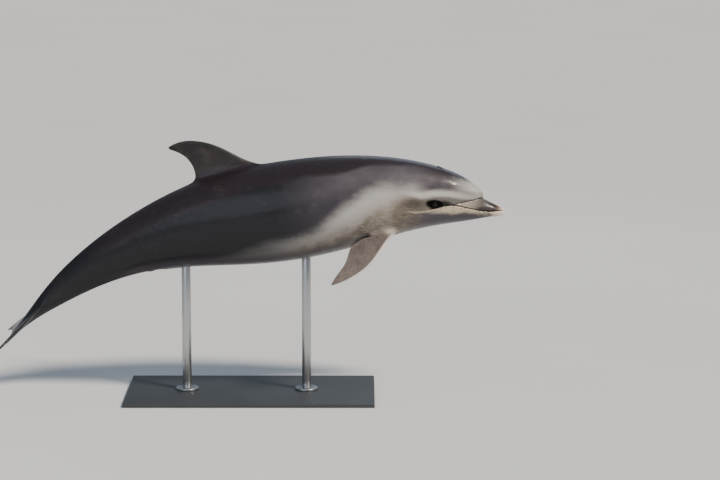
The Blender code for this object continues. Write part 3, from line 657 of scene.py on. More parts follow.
skinLook = {
    "tones": {
        "cape": "#20181d", "flank": "#443e46", "flankPale": "#524c51", "darkFlank": "#131218",
        # the belly tone is painted shade: the pale underside darkened as though in shadow
        "band": "#aaa6a1", "belly": "#464145", "olive": "#6a6055", "cheek": "#463e38", "jawSide": "#696056",
        "chest": "#91867b", "stripe": "#b5b0aa", "eyeBand": "#67615e", "eyePatch": "#030303",
        # the melonFront tone is the melon's pale front, partly a painted highlight
        "melonSide": "#332b30", "melonFront": "#b3b0ab", "beakTop": "#221a1d", "upperLip": "#a89c8d",
        # the throat tone is the lower jaw's purple grey, darkened by painted shade
        # the tip tone is the pale pink of the jaws' tips, made lighter by a painted highlight
        "lip": "#c8b99d", "lipMottle": "#8f8271", "shadedThroat": "#464147", "tip": "#f4dccf",
        "tipFoot": "#785a4c", "dorsal": "#191616", "dorsalFoot": "#2b2626", "flipper": "#6b605a",
        # the flipperEdgeAndHighlight tone is the flipper's pale leading edge, lightened by a painted
        # highlight along it
        # the rootHighlight tone is a painted highlight at the root of the flipper's leading edge
        "flipperDark": "#4c4341", "flipperEdgeAndHighlight": "#e3dbd2", "rootHighlight": "#c9bfaa", "fluke": "#1c1a1c",
        # the mouth tone is painted shade: in the groove where the lips meet, in the crease under the melon
        # and above the flipper's trailing edge
        "mouth": "#0d0908", "scratch": "#8e857b", "freckle": "#1d1815", "wrinkle": "#352c25",
        "glint": "#9c8a68",
    },
    # noise: what it lies on, its grain in metres, detail, stretch along the body, and roughness
    "noises": {
        "wobble": ("body", 0.050, 3, 0.45, 0.5), "finerWobble": ("body", 0.016, 3, 0.6, 0.5),
        "blotches": ("body", 0.110, 4, 1, 0.5), "patches": ("body", 0.060, 3, 1, 0.5),
        "headPatches": ("body", 0.050, 3, 1, 0.5), "finPatches": ("body", 0.050, 4, 1, 0.5),
        "dorsalPatches": ("body", 0.070, 4, 1, 0.5), "flukePatches": ("body", 0.060, 4, 1, 0.5),
        "lipMottle": ("body", 0.010, 4, 1, 0.5), "lipSpots": ("body", 0.008, 2, 1, 0.5),
        "beakMottle": ("body", 0.007, 3, 1, 0.5), "finMottle": ("body", 0.010, 3, 1, 0.5),
        "freckleGroups": ("body", 0.070, 1, 1, 0.5), "freckleGaps": ("body", 0.022, 1, 1, 0.5),
        "grain": ("body", 0.006, 4, 0.6, 0.65), "fineGrain": ("body", 0.005, 3, 0.5, 0.6),
        "swellings": ("body", 0.035, 2, 1, 0.5), "wetness": ("body", 0.030, 3, 1, 0.5),
        "rakeGroups": ("rake", 0.100, 2, 1, 0.5), "rakeGaps": ("rake", 0.030, 2, 0.3, 0.5),
        "crossRakeGroups": ("crossRake", 0.100, 2, 1, 0.5),
        "crossRakeGaps": ("crossRake", 0.030, 2, 0.3, 0.5),
        "wrinkleGroups": ("body", 0.045, 2, 0.6, 0.5), "wrinkleGaps": ("body", 0.016, 1, 1, 0.5),
        "strokes": ("wavering", 0.0056, 3, 0.13, 0.6), "strokeGroups": ("body", 0.050, 2, 1, 0.5),
    },
    # scratches from other dolphins' teeth: parallel lines 8 mm apart in groups, at two slants in degrees
    "rakes": {"rake": 24, "crossRake": -38},
    "rakeWaves": {"Scale": 38.0, "Distortion": 2.2, "Detail": 2.0, "Detail Scale": 0.6},
    # the lines of the skin waver by 14 mm, and creases are the edges of long slanting cells 20 mm across
    "waver": (0.025, 0.014), "creaseCells": (0.020, 0.45, -22),
    "dotSpacing": 0.024,  # freckles lie in cells this wide
    "raggedEdge": (0.030, 0.014),  # how far the markings' edges stray, in coarse and in fine steps
    # place on the skin: the value it starts from, how many times the ragged edge moves it, and whether its
    # sign is dropped
    "places": {
        "cape": ("aboveCape", 0.8, False), "band": ("aboveBand", 1.4, False),
        "bandFoot": ("aboveBandFoot", 1.8, False), "bellyShare": ("bellyShare", 0, False),
        "raggedStation": ("station", 1, False),
        "headStation": ("station", 0.8, False), "beakStation": ("station", 1.6, False),
        "tipStation": ("station", 0.5, False), "aboveStripe": ("offStripe", 0, False),
        "stripe": ("offStripe", 0.5, True),
        "mouth": ("aboveMouth", 0, False), "mouthLine": ("aboveMouth", 0, True),
        "crease": ("aboveCrease", 0, False), "creaseLine": ("aboveCrease", 0, True),
        "lipFoot": ("aboveLipFoot", 0.7, False), "lipTail": ("offLipTail", 0.4, True),
        "foldLine": ("offFold", 0, True), "fromMidline": ("side", 0, True), "chord": ("chordShare", 0, False),
        "alongFlipper": ("flipperShare", 0, False), "flipperFoot": ("flipperShare", 2.0, False),
        "alongDorsal": ("dorsalShare", 0, False), "dorsalFoot": ("dorsalShare", 3.0, False),
        "alongFluke": ("flukeShare", 0, False),
    },
    # oval, which is 1 on its edge: station and height of its middle, half its length and height, and how
    # ragged it is
    "ovals": {
        "patchOval": (0.344, -0.001, 0.047, 0.023, 14), "patchArm": (0.300, 0.005, 0.044, 0.018, 12),
        # the rootHighlight oval holds a painted highlight at the flipper's leading root
        "smudge": (0.446, -0.007, 0.062, 0.027, 16), "rootHighlight": (0.553, -0.145, 0.030, 0.020, 40),
    },
    # mask: strength and fades; a fade is another mask, or eases from 0 at its first number to 1 at its
    # second, and a third number is the least that it falls to
    "masks": {
        "beneath": (1, ("bandFoot", 0.034, -0.040), ("station", 1.16, 0.92)),
        "patchMiddle": (1, ("patchOval", 1.2, 0.78)),
        "patchFront": (0.85, ("patchArm", 1.3, 0.4), ("station", 0.345, 0.33)),
        "offFins": (1, ("alongFlipper", 0.03, 0), ("alongDorsal", 0.03, 0), ("alongFluke", 0.03, 0)),
        "lined": (1, "beneath", "offFins", ("station", 0.38, 0.43), ("station", 1.04, 0.84),
                  ("height", 0, -0.035), ("strokeGroups", 0.30, 0.55)),
        "darkStrokes": (1, ("strokes", 0.52, 0.66), "lined"),
        "paleStrokes": (1, ("strokes", 0.46, 0.34), "lined", ("station", 0.80, 0.56)),
        # a painted shadow on the body along the fold just above the flipper's trailing edge; the relief also
        # sinks it as a groove
        "shadowedFold": (1, ("foldLine", 0.0046, 0.0010), ("station", 0.630, 0.665), ("station", 0.775, 0.75),
                 ("fromMidline", 0.05, 0.07), ("alongFlipper", 0.30, 0.20)),
        "rakeLines": (1, ("rakeWaves", 0.93, 0.995), ("rakeGroups", 0.62, 0.70), ("rakeGaps", 0.46, 0.60)),
        "crossRakeLines": (1, ("crossRakeWaves", 0.93, 0.995), ("crossRakeGroups", 0.64, 0.72),
                           ("crossRakeGaps", 0.46, 0.60)),
        "wrinkles": (1, ("creaseEdge", 0.045, 0.010), "beneath", "offFins", ("station", 0.39, 0.43),
                     ("station", 0.78, 0.64), ("wrinkleGroups", 0.42, 0.58), ("wrinkleGaps", 0.50, 0.60)),
    },
    # the greater of two masks, and fades
    "joined": {
        "scratches": ("rakeLines", "crossRakeLines", "offFins", ("station", 0.24, 0.40)),
        "patch": ("patchMiddle", "patchFront", ("fromMidline", 0.06, 0.08), ("mouth", -0.010, 0.004)),
    },
    # coats of colour, each from its ground outwards: a tone or an earlier coat, its strength, and its fades
    "coats": {
        "underBand": ("jawSide", [
            ("olive", 1, ("station", 0.42, 0.54)),
            ("chest", 1, ("station", 0.50, 0.60), ("patches", 0.3, 0.7)),
        ]),
        "melon": ("melonSide", [
            ("flank", 1, ("headPatches", 0.4, 0.7)),
            # the pale front of the melon, partly a painted highlight
            ("melonFront", 1, ("headStation", 0.31, 0.15)),
        ]),
        "lips": ("lip", [
            ("lipMottle", 1, ("lipMottle", 0.42, 0.72), ("station", 0.06, 0.20)),
            ("upperLip", 0.6, ("station", 0.20, 0.36)),
            ("shadedThroat", 0.75, ("lipSpots", 0.38, 0.56), ("station", 0.050, 0.070), ("station", 0.165, 0.115)),
        ]),
        "beak": ("beakTop", [
            ("eyeBand", 0.65, ("mouth", 0.008, 0.026), ("station", 0.050, 0.110)),
            ("upperLip", 1, ("beakStation", 0.110, 0.200)),
            # painted shade on the upper beak just above the front of the mouth line
            ("beakTop", 0.6, ("mouth", 0.016, 0.004), ("station", 0.170, 0.110), ("station", 0.02, 0.05)),
            ("flipperDark", 0.30, ("beakMottle", 0.50, 0.66), ("station", 0.05, 0.14)),
            ("eyeBand", 0.3, ("grain", 0.5, 0.75)),
        ]),
        "flipperSkin": ("flipper", [
            ("flipperDark", 0.75, ("finPatches", 0.30, 0.75)),
            ("flipperDark", 0.60, ("finMottle", 0.48, 0.70)),
            ("freckle", 1, ("dots", 0.22, 0.14), ("freckleGroups", 0.44, 0.52), ("freckleGaps", 0.44, 0.50)),
            # the pale leading edge of the flipper, with a painted highlight along it
            ("flipperEdgeAndHighlight", 0.95, ("chord", 0.15, 0.07), ("alongFlipper", 0, 0.08),
             ("alongFlipper", 1.0, 0.75)),
        ]),
        "dorsalSkin": ("dorsal", [
            ("dorsalFoot", 1, ("alongDorsal", 0.75, 0.15)),
            ("flipperDark", 0.35, ("dorsalPatches", 0.45, 0.70)),
        ]),
        "flukeSkin": ("fluke", [("dorsalFoot", 0.5, ("flukePatches", 0.45, 0.75))]),
        "skin": ("flank", [
            # flank, band, belly and back
            ("flankPale", 1, ("blotches", 0.35, 0.75)),
            ("darkFlank", 1, ("station", 0.74, 1.12)),
            ("darkFlank", 0.30, ("band", 0.140, 0.050), ("station", 0.56, 0.68)),
            ("band", 1, ("band", 0.046, -0.050), ("station", 1.25, 0.72, 0.36)),
            ("chest", 0.35, ("band", 0.046, -0.050), ("bandFoot", 0.080, 0.010), ("station", 1.3, 1.0)),
            ("underBand", 1, "beneath"),
            # painted shade: the belly darkens towards its underside, from behind the flippers back
            ("belly", 0.9, ("bellyShare", 0.54, 0.88), ("station", 0.50, 0.74)),
            ("cape", 1, ("cape", -0.014, 0.012), ("raggedStation", 0.13, 0.25)),
            ("darkFlank", 1, ("station", 1.86, 2.10)),
            # melon, and the bands over the eye
            ("melon", 1, ("station", 0.46, 0.36), ("aboveStripe", 0.010, 0.034), ("cape", 0.012, -0.014)),
            ("eyeBand", 1, ("aboveStripe", 0.004, -0.024), ("station", 0.44, 0.36), ("station", 0.10, 0.16),
             ("crease", -0.002, 0.002)),
            ("stripe", 0.92, ("stripe", 0.021, 0.003), ("station", 0.10, 0.28), ("station", 0.54, 0.42)),
            # jaws
            # the lower jaw's underside, darkened by painted shade
            ("shadedThroat", 1, ("mouth", 0.004, -0.004), ("station", 0.50, 0.34)),
            ("lips", 1, ("lipFoot", -0.010, 0.013), ("mouth", 0.001, -0.001), ("station", 0.41, 0.31)),
            ("cheek", 0.85, ("smudge", 1.3, 0.3)),
            ("lip", 0.5, ("lipTail", 0.008, 0.001), ("station", 0.335, 0.37), ("station", 0.50, 0.42)),
            ("beak", 1, ("mouth", -0.001, 0.001), ("crease", 0.001, -0.001), ("station", 0.29, 0.275)),
            ("tipFoot", 0.7, ("tipStation", 0.060, 0.036), ("mouth", -0.002, 0.001)),
            # pale pink tips of both jaws, lightened by a painted highlight
            ("tip", 0.95, ("tipStation", 0.040, 0.014)),
            ("tip", 0.8, ("tipStation", 0.075, 0.030), ("mouth", 0.000, -0.002), ("mouth", -0.030, -0.022)),
            # painted shade in the groove where the lips meet
            ("mouth", 0.95, ("mouthLine", 0.0036, 0.0014), ("station", 0.376, 0.360),
             ("station", 0.004, 0.02)),
            # painted shade in the crease where the melon overhangs the beak
            ("mouth", 0.85, ("creaseLine", 0.0036, 0.0012), ("station", 0.105, 0.112),
             ("station", 0.285, 0.26), ("station", 0.05, 0.118)),
            ("eyePatch", 1, "patch"),
            # fins
            ("flipperSkin", 1, ("flipperFoot", 0, 0.12)),
            # a painted highlight at the root of the flipper's leading edge
            ("rootHighlight", 0.75, ("rootHighlight", 1.6, -0.1)),
            ("dorsalSkin", 1, ("dorsalFoot", 0, 0.30)),
            ("flukeSkin", 1, ("alongFluke", 0, 0.15)),
            # a painted shadow on the body above the flipper's trailing edge
            ("mouth", 0.9, "shadowedFold"),
            # scratches, creases and grain
            ("scratch", 0.30, "scratches"),
            ("wrinkle", 0.50, "wrinkles"),
            ("wrinkle", 0.70, "darkStrokes"),
            ("glint", 0.55, "paleStrokes"),
            ("scratch", 0.06, ("grain", 0.55, 0.78), "offPatch"),
            ("cape", 0.25, ("grain", 0.45, 0.22)),
        ]),
    },
    # low relief: its height in metres and strength, and each part's share of it
    "bumpHeight": 0.0018, "bumpStrength": 0.6,
    "relief": {"fineGrain": 0.28, "swellings": 1, "scratches": -0.3, "wrinkles": -0.2, "darkStrokes": -0.25,
               "shadowedFold": -1.5},
    "roughness": (0.36, 0.56), "film": 0.42, "patchDulling": 0.85,
    "shader": {"Specular IOR Level": 0.25, "Coat Roughness": 0.11, "Coat IOR": 1.33},
}


def maskOf(tree, places, strength, fades):
    # a strength times its fades
    amount = strength
    for fade in fades:
        if isinstance(fade, str):
            share = places[fade]
        else:
            name, start, end, least = (*fade, 0)[:4]
            share = addNode(tree, "ShaderNodeMapRange",
                            {"Value": places[name], "From Min": start, "From Max": end, "To Min": least},
                            interpolation_type="SMOOTHSTEP")
        amount = addNode(tree, "ShaderNodeMath", {0: amount, 1: share}, operation="MULTIPLY")
    return amount


def placesOnSkin(tree):
    # every value that a mask can read, by its name
    place = addNode(tree, "ShaderNodeAttribute", give="Vector", attribute_name="bodyPlace")
    surface = addNode(tree, "ShaderNodeAttribute", give="Vector", attribute_name="surfacePlace")
    grain, swing = skinLook["waver"]
    waver = addNode(tree, "ShaderNodeTexNoise", {"Vector": surface, "Scale": 1 / grain}, give="Color")
    wavering = addNode(tree, "ShaderNodeVectorMath", {0: waver, 1: (swing, swing, 0), 2: surface},
                       operation="MULTIPLY_ADD")
    grounds, places = {"body": place, "wavering": wavering}, {}
    for name, turn in skinLook["rakes"].items():
        turned = (0, 0, math.radians(turn))
        grounds[name] = addNode(tree, "ShaderNodeMapping", {"Vector": surface, "Rotation": turned})
        places[name + "Waves"] = addNode(tree, "ShaderNodeTexWave",
                                         {"Vector": grounds[name], **skinLook["rakeWaves"]}, give="Fac",
                                         wave_type="BANDS", bands_direction="Y")
    for name, (ground, grain, detail, stretch, roughness) in skinLook["noises"].items():
        moved = addNode(tree, "ShaderNodeMapping", {"Vector": grounds[ground], "Scale": (stretch, 1, 1)})
        places[name] = addNode(tree, "ShaderNodeTexNoise", {"Vector": moved, "Scale": 1 / grain,
                                                            "Detail": detail, "Roughness": roughness})
    places["dots"] = addNode(tree, "ShaderNodeTexVoronoi",
                             {"Vector": place, "Scale": 1 / skinLook["dotSpacing"]})
    grain, stretch, turn = skinLook["creaseCells"]
    cells = addNode(tree, "ShaderNodeMapping", {"Vector": wavering, "Rotation": (0, 0, math.radians(turn)),
                                                "Scale": (stretch, 1, 1)})
    places["creaseEdge"] = addNode(tree, "ShaderNodeTexVoronoi", {"Vector": cells, "Scale": 1 / grain},
                                   feature="DISTANCE_TO_EDGE")
    ragged = -sum(skinLook["raggedEdge"]) / 2  # the middle of a noise is a half
    for name, stray in zip(("finerWobble", "wobble"), reversed(skinLook["raggedEdge"])):
        ragged = addNode(tree, "ShaderNodeMath", {0: places[name], 1: stray, 2: ragged},
                         operation="MULTIPLY_ADD")
    parts = addNode(tree, "ShaderNodeSeparateXYZ", {0: place}, give=None)
    places.update(station=parts[0], side=parts[1], height=parts[2])
    for name, (source, shift, unsigned) in skinLook["places"].items():
        value = places.get(source) or addNode(tree, "ShaderNodeAttribute", give="Fac", attribute_name=source)
        if shift:
            value = addNode(tree, "ShaderNodeMath", {0: ragged, 1: shift, 2: value}, operation="MULTIPLY_ADD")
        if unsigned:
            value = addNode(tree, "ShaderNodeMath", {0: value}, operation="ABSOLUTE")
        places[name] = value
    for name, (station, height, long, tall, rag) in skinLook["ovals"].items():
        centred = addNode(tree, "ShaderNodeMapping", {"Vector": place, "Scale": (1 / long, 0, 1 / tall),
                                                      "Location": (-station / long, 0, -height / tall)})
        off = addNode(tree, "ShaderNodeVectorMath", {0: centred}, give="Value", operation="LENGTH")
        places[name] = addNode(tree, "ShaderNodeMath", {0: ragged, 1: rag, 2: off}, operation="MULTIPLY_ADD")
    for name, (strength, *fades) in skinLook["masks"].items():
        places[name] = maskOf(tree, places, strength, fades)
    for name, (first, second, *fades) in skinLook["joined"].items():
        either = addNode(tree, "ShaderNodeMath", {0: places[first], 1: places[second]}, operation="MAXIMUM")
        places[name] = maskOf(tree, places, either, fades)
    places["offPatch"] = addNode(tree, "ShaderNodeMath", {0: 1.0, 1: places["patch"]}, operation="SUBTRACT")
    return places


def makeSkinMaterial():
    # Wet dolphin skin: smooth, rubbery and soft to the eye, with a thin film of water that gives sharp
    # highlights
    made, tree, shader = newMaterial("wetDolphinSkin", skinLook["shader"])
    places = placesOnSkin(tree)
    tones = {name: colour(code) for name, code in skinLook["tones"].items()}
    for name, (ground, layers) in skinLook["coats"].items():
        coat = tones[ground]
        for tone, strength, *fades in layers:
            mask = maskOf(tree, places, strength, fades)
            coat = addNode(tree, "ShaderNodeMix", {0: mask, 6: coat, 7: tones[tone]}, give=2,
                           data_type="RGBA")
        tones[name] = coat
    tree.links.new(tones["skin"], shader.inputs["Base Color"])
    relief = 0.0
    for name, share in skinLook["relief"].items():
        relief = addNode(tree, "ShaderNodeMath", {0: places[name], 1: share, 2: relief},
                         operation="MULTIPLY_ADD")
    bumps = addNode(tree, "ShaderNodeBump", {"Strength": skinLook["bumpStrength"], "Height": relief,
                                             "Distance": skinLook["bumpHeight"]})
    smooth, rough = skinLook["roughness"]
    roughness = addNode(tree, "ShaderNodeMapRange",
                        {"Value": places["wetness"], "To Min": smooth, "To Max": rough})
    # the dark patch round the eye shines less, so that it stays black
    sheen = addNode(tree, "ShaderNodeMath", {0: places["patch"], 1: -skinLook["patchDulling"], 2: 1.0},
                    operation="MULTIPLY_ADD")
    film = addNode(tree, "ShaderNodeMath", {0: sheen, 1: skinLook["film"]}, operation="MULTIPLY")
    for source, socket in ((bumps, "Normal"), (bumps, "Coat Normal"), (roughness, "Roughness"),
                           (sheen, "Specular Tint"), (film, "Coat Weight")):
        tree.links.new(source, shader.inputs[socket])
    return made


skin.data.materials.clear()
skin.data.materials.append(makeSkinMaterial())
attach(skin, "root")
flesh = [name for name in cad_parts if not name.startswith(("stand_", "eye_"))]
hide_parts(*flesh)
print("stage: the skin has its colours")

# Eyes

eyes = {
    "segments": 48, "rings": 32, "corneaRadius": 0.0085, "corneaRise": 0.0006,
    "iris": ("#120a07", "#24150d"), "irisGrain": 0.00143, "pupil": "#020202", "white": "#120d0c",
    # where the pupil and the iris end, and how much wider than high the pupil is
    "pupilEdge": (0.0038, 0.0044), "irisEdge": (0.0088, 0.0100), "pupilAcross": 0.55,
    "shader": {"Roughness": 0.16, "Specular IOR Level": 0.15, "Coat Weight": 0.45, "Coat Roughness": 0.03,
               "Coat IOR": 1.38},
}


def makeEyeMaterial(centre):
    # A living eye: a dark brown iris with a broad dark pupil under a clear wet cornea
    made, tree, shader = newMaterial("wetEye", eyes["shader"])
    place = addNode(tree, "ShaderNodeTexCoord", give="Object")
    folded = addNode(tree, "ShaderNodeVectorMath", {0: place}, operation="ABSOLUTE")  # both eyes share it
    centred = addNode(tree, "ShaderNodeVectorMath", {0: folded, 1: centre}, operation="SUBTRACT")
    grain = addNode(tree, "ShaderNodeTexNoise",
                    {"Vector": centred, "Scale": 1 / eyes["irisGrain"], "Detail": 2.0})
    iris = addNode(tree, "ShaderNodeMix", {0: grain, 6: colour(eyes["iris"][0]), 7: colour(eyes["iris"][1])},
                   give=2, data_type="RGBA")
    tone = colour(eyes["pupil"])
    for outer, (start, end), across in ((iris, eyes["pupilEdge"], eyes["pupilAcross"]),
                                        (colour(eyes["white"]), eyes["irisEdge"], 1)):
        flat = addNode(tree, "ShaderNodeVectorMath", {0: centred, 1: (across, 0, 1)}, operation="MULTIPLY")
        off = addNode(tree, "ShaderNodeVectorMath", {0: flat}, give="Value", operation="LENGTH")
        share = addNode(tree, "ShaderNodeMapRange", {"Value": off, "From Min": start, "From Max": end},
                        interpolation_type="SMOOTHSTEP")
        tone = addNode(tree, "ShaderNodeMix", {0: share, 6: tone, 7: outer}, give=2, data_type="RGBA")
    tree.links.new(tone, shader.inputs["Base Color"])
    return made


def makeEye(name, material):
    low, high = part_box(name)
    centre, radius = (low + high) / 2, (high.x - low.x) / 2
    deselectAll()
    bpy.ops.mesh.primitive_uv_sphere_add(segments=eyes["segments"], ring_count=eyes["rings"], radius=radius,
                                         location=centre, rotation=(math.pi / 2, 0, 0))
    bpy.ops.object.transform_apply(location=True, rotation=True, scale=True)
    made = bpy.context.object
    made.name = made.data.name = name + "_ball"
    outward = 1 if centre.y > 0 else -1
    for vertex in made.data.vertices:  # the cornea stands a little proud
        off = math.hypot(vertex.co.x - centre.x, vertex.co.z - centre.z)
        if (vertex.co.y - centre.y) * outward > 0 and off < eyes["corneaRadius"]:
            vertex.co.y += outward * eyes["corneaRise"] * (1 - (off / eyes["corneaRadius"]) ** 2)
    bpy.ops.object.shade_smooth()
    made.data.materials.append(material)
    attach(made, "root")
    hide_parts(name)


leftLow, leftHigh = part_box("eye_left")
eyeMaterial = makeEyeMaterial(tuple((leftLow + leftHigh) / 2))
for name in ("eye_left", "eye_right"):
    makeEye(name, eyeMaterial)
print("stage: eyes")

# Stand

stand = {
    "plateSize": (1.20, 0.60, 0.02), "plateBevel": 0.004, "plateTones": ("#2b2e31", "#383b3e"),
    "peelGrain": 0.00222, "cloudGrain": 0.2, "plateRelief": (0.25, 0.0005),  # strength, metres
    "rodRadius": 0.022, "rodBevel": 0.001, "steelRelief": (0.15, 0.0003),
    "steelTones": ("#a9abac", "#c9cacb"), "steelRoughness": (0.24, 0.40),
    "turnedLines": (6, 6, 900),  # lines about 1 mm apart up the rod, and long round it
    "flangeRadius": 0.055, "flangeThickness": 0.012, "flangeBevel": 0.0025, "flangeGap": 0.0003,
    "screws": 4, "screwCircle": 0.040, "screwRadius": 0.0055, "screwHead": 0.0035,
    "hexRadius": 0.0028, "hexDepth": 0.002, "smoothBelow": 35,
    "rodSides": 72, "flangeSides": 96, "screwSides": 32, "plateSteps": 4, "rodSteps": 2, "flangeSteps": 3,
}


def makePlateMaterial():
    # Powder-coated steel: baked paint with a fine orange-peel grain, matt and even
    made, tree, shader = newMaterial("powderCoatedSteel", {"Roughness": 0.5})
    place = addNode(tree, "ShaderNodeTexCoord", give="Object")
    grain = addNode(tree, "ShaderNodeTexNoise",
                    {"Vector": place, "Scale": 1 / stand["peelGrain"], "Detail": 2.0})
    cloud = addNode(tree, "ShaderNodeTexNoise",
                    {"Vector": place, "Scale": 1 / stand["cloudGrain"], "Detail": 3.0})
    dark, pale = (colour(code) for code in stand["plateTones"])
    tone = addNode(tree, "ShaderNodeMix", {0: cloud, 6: dark, 7: pale}, give=2, data_type="RGBA")
    strength, rise = stand["plateRelief"]
    bumps = addNode(tree, "ShaderNodeBump", {"Strength": strength, "Distance": rise, "Height": grain})
    tree.links.new(tone, shader.inputs["Base Color"])
    tree.links.new(bumps, shader.inputs["Normal"])
    return made


def makeSteelMaterial():
    # Brushed stainless steel: turned on a lathe, so its fine lines run round the rod
    made, tree, shader = newMaterial("brushedStainlessSteel", {"Metallic": 1.0})
    place = addNode(tree, "ShaderNodeTexCoord", give="Object")
    stretched = addNode(tree, "ShaderNodeMapping", {"Vector": place, "Scale": stand["turnedLines"]})
    lines = addNode(tree, "ShaderNodeTexNoise", {"Vector": stretched, "Scale": 1.0, "Detail": 3.0})
    dark, pale = (colour(code) for code in stand["steelTones"])
    tone = addNode(tree, "ShaderNodeMix", {0: lines, 6: dark, 7: pale}, give=2, data_type="RGBA")
    smooth, rough = stand["steelRoughness"]
    roughness = addNode(tree, "ShaderNodeMapRange", {"Value": lines, "To Min": smooth, "To Max": rough})
    strength, rise = stand["steelRelief"]
    bumps = addNode(tree, "ShaderNodeBump", {"Strength": strength, "Distance": rise, "Height": lines})
    tree.links.new(tone, shader.inputs["Base Color"])
    tree.links.new(roughness, shader.inputs["Roughness"])
    tree.links.new(bumps, shader.inputs["Normal"])
    return made


def finishPiece(piece, name, material, node):
    deselectAll()
    bpy.context.view_layer.objects.active = piece
    piece.select_set(True)
    bpy.ops.object.transform_apply(location=True, rotation=True, scale=True)
    bpy.ops.object.shade_smooth_by_angle(angle=math.radians(stand["smoothBelow"]))
    piece.name = piece.data.name = name
    piece.data.materials.clear()
    piece.data.materials.append(material)
    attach(piece, "root")
    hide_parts(node)


def bevelEdges(piece, width, steps):
    edges = piece.modifiers.new("Edges", "BEVEL")
    edges.width, edges.segments, edges.limit_method = width, steps, "ANGLE"
    applyModifiers(piece)


plateMaterial, steelMaterial = makePlateMaterial(), makeSteelMaterial()
deselectAll()
bpy.ops.mesh.primitive_cube_add(size=1, location=(0, 0, stand["plateSize"][2] / 2), scale=stand["plateSize"])
plate = bpy.context.object
bpy.ops.object.transform_apply(location=True, rotation=True, scale=True)
bevelEdges(plate, stand["plateBevel"], stand["plateSteps"])
finishPiece(plate, "stand_plate", plateMaterial, "stand_base")

for end in ("front", "rear"):
    low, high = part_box("stand_rod_" + end)
    x, top = (low.x + high.x) / 2, stand["plateSize"][2]
    deselectAll()
    bpy.ops.mesh.primitive_cylinder_add(vertices=stand["rodSides"], radius=stand["rodRadius"],
                                        depth=high.z - low.z, location=(x, 0, (low.z + high.z) / 2))
    rod = bpy.context.object
    bpy.ops.object.transform_apply(location=True, rotation=True, scale=True)
    bevelEdges(rod, stand["rodBevel"], stand["rodSteps"])
    finishPiece(rod, "stand_rod_" + end + "_steel", steelMaterial, "stand_rod_" + end)
    deselectAll()
    thickness = stand["flangeThickness"]
    bpy.ops.mesh.primitive_cylinder_add(vertices=stand["flangeSides"], radius=stand["flangeRadius"],
                                        depth=thickness,
                                        location=(x, 0, top + thickness / 2 + stand["flangeGap"]))
    collar = bpy.context.object
    bpy.ops.object.transform_apply(location=True, rotation=True, scale=True)
    bevelEdges(collar, stand["flangeBevel"], stand["flangeSteps"])
    screws = []
    for turn in range(stand["screws"]):  # socket-head screws
        angle = math.tau * (turn + 0.5) / stand["screws"]
        deselectAll()
        bpy.ops.mesh.primitive_cylinder_add(
            vertices=stand["screwSides"], radius=stand["screwRadius"], depth=stand["screwHead"],
            location=(x + stand["screwCircle"] * math.cos(angle), stand["screwCircle"] * math.sin(angle),
                      top + thickness + stand["screwHead"] / 2))
        bpy.ops.object.transform_apply(location=True, rotation=True, scale=True)
        screw = bpy.context.object
        bpy.ops.object.mode_set(mode="EDIT")
        mesh = bmesh.from_edit_mesh(screw.data)
        for face in mesh.faces:
            face.select_set(face.normal.z > 0.9)
        bmesh.update_edit_mesh(screw.data)
        bpy.ops.mesh.inset(thickness=stand["screwRadius"] - stand["hexRadius"])
        bpy.ops.mesh.extrude_region_move(TRANSFORM_OT_translate={"value": (0, 0, -stand["hexDepth"])})
        bpy.ops.object.mode_set(mode="OBJECT")
        screws.append(screw)
    deselectAll()
    for screw in screws:
        screw.select_set(True)
    collar.select_set(True)
    bpy.context.view_layer.objects.active = collar
    bpy.ops.object.join()
    finishPiece(collar, "stand_flange_" + end + "_steel", steelMaterial, "stand_flange_" + end)
print("stage: stand")

# Floor, light and camera

studio = {
    "floorSize": 160, "floorTones": ("#d4d5d6", "#dddede"), "floorScale": 0.7,
    "sun": {"energy": 4.2, "angle": 11, "place": (4.80, -3.36, 6.40), "tone": "#fff4e4"},
    "fill": {"energy": 90, "size": 4.5, "place": (-2.2, -5.0, 3.2), "tone": "#eaf2ff"},
    "rim": {"energy": 25, "size": 3.0, "place": (1.5, 4.5, 3.6), "tone": "#dfeaff"},
    "lampTarget": (0.3, 0, 0.8),
    "sky": {"strength": 0.36, "tone": "#d3e2f4"},
    # the camera sees viewWidth metres at its distance from the target
    "camera": {"place": (0.5296, -11.818, 2.842), "target": (0.5296, 0, 0.7578), "distance": 12.0,
               "viewWidth": 3.46654, "sensor": 36.0},
}


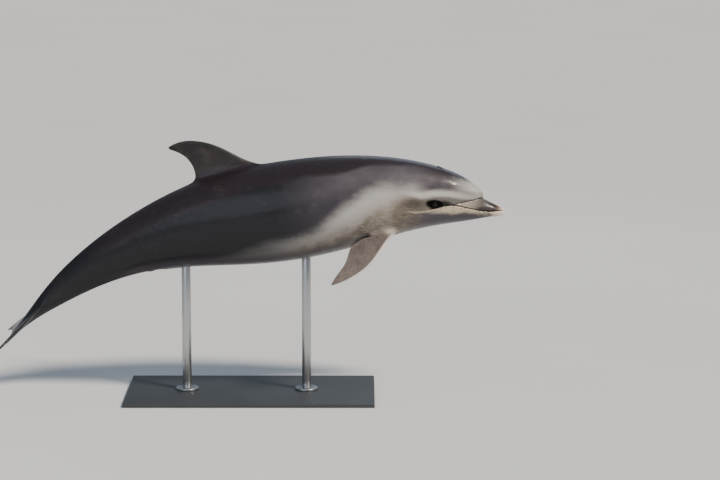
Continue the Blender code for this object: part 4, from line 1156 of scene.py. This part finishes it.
def makeFloorMaterial():
    # Painted studio floor: even, pale and matt
    made, tree, shader = newMaterial("palePaintedFloor", {"Roughness": 0.75})
    place = addNode(tree, "ShaderNodeTexCoord", give="Object")
    cloud = addNode(tree, "ShaderNodeTexNoise",
                    {"Vector": place, "Scale": studio["floorScale"], "Detail": 3.0})
    dark, pale = (colour(code) for code in studio["floorTones"])
    tone = addNode(tree, "ShaderNodeMix", {0: cloud, 6: dark, 7: pale}, give=2, data_type="RGBA")
    tree.links.new(tone, shader.inputs["Base Color"])
    return made


deselectAll()
bpy.ops.mesh.primitive_plane_add(size=studio["floorSize"], location=(0, 0, 0))
floor = bpy.context.object
floor.name = floor.data.name = "studio_floor"
floor.data.materials.append(makeFloorMaterial())


def pointAt(lamp, target):
    lamp.rotation_euler = (Vector(target) - lamp.location).to_track_quat("-Z", "Y").to_euler()


deselectAll()
bpy.ops.object.light_add(type="SUN", location=studio["sun"]["place"])
sun = bpy.context.object
sun.data.energy, sun.data.angle = studio["sun"]["energy"], math.radians(studio["sun"]["angle"])
sun.data.color = colour(studio["sun"]["tone"])[:3]
pointAt(sun, (0, 0, 0))
for name in ("fill", "rim"):
    deselectAll()
    bpy.ops.object.light_add(type="AREA", location=studio[name]["place"])
    lamp = bpy.context.object
    lamp.data.shape = "DISK"
    lamp.data.energy, lamp.data.size = studio[name]["energy"], studio[name]["size"]
    lamp.data.color = colour(studio[name]["tone"])[:3]
    pointAt(lamp, studio["lampTarget"])
world = bpy.data.worlds.new("studio")
bpy.context.scene.world = world
world.use_nodes = True
sky = world.node_tree.nodes["Background"].inputs
sky["Color"].default_value = colour(studio["sky"]["tone"])
sky["Strength"].default_value = studio["sky"]["strength"]

camera = studio["camera"]
deselectAll()
bpy.ops.object.camera_add(location=camera["place"])
viewer = bpy.context.object
viewer.data.sensor_width = camera["sensor"]
viewer.data.lens = camera["sensor"] * camera["distance"] / camera["viewWidth"]
pointAt(viewer, camera["target"])
bpy.context.scene.camera = viewer
print("stage: light and camera")
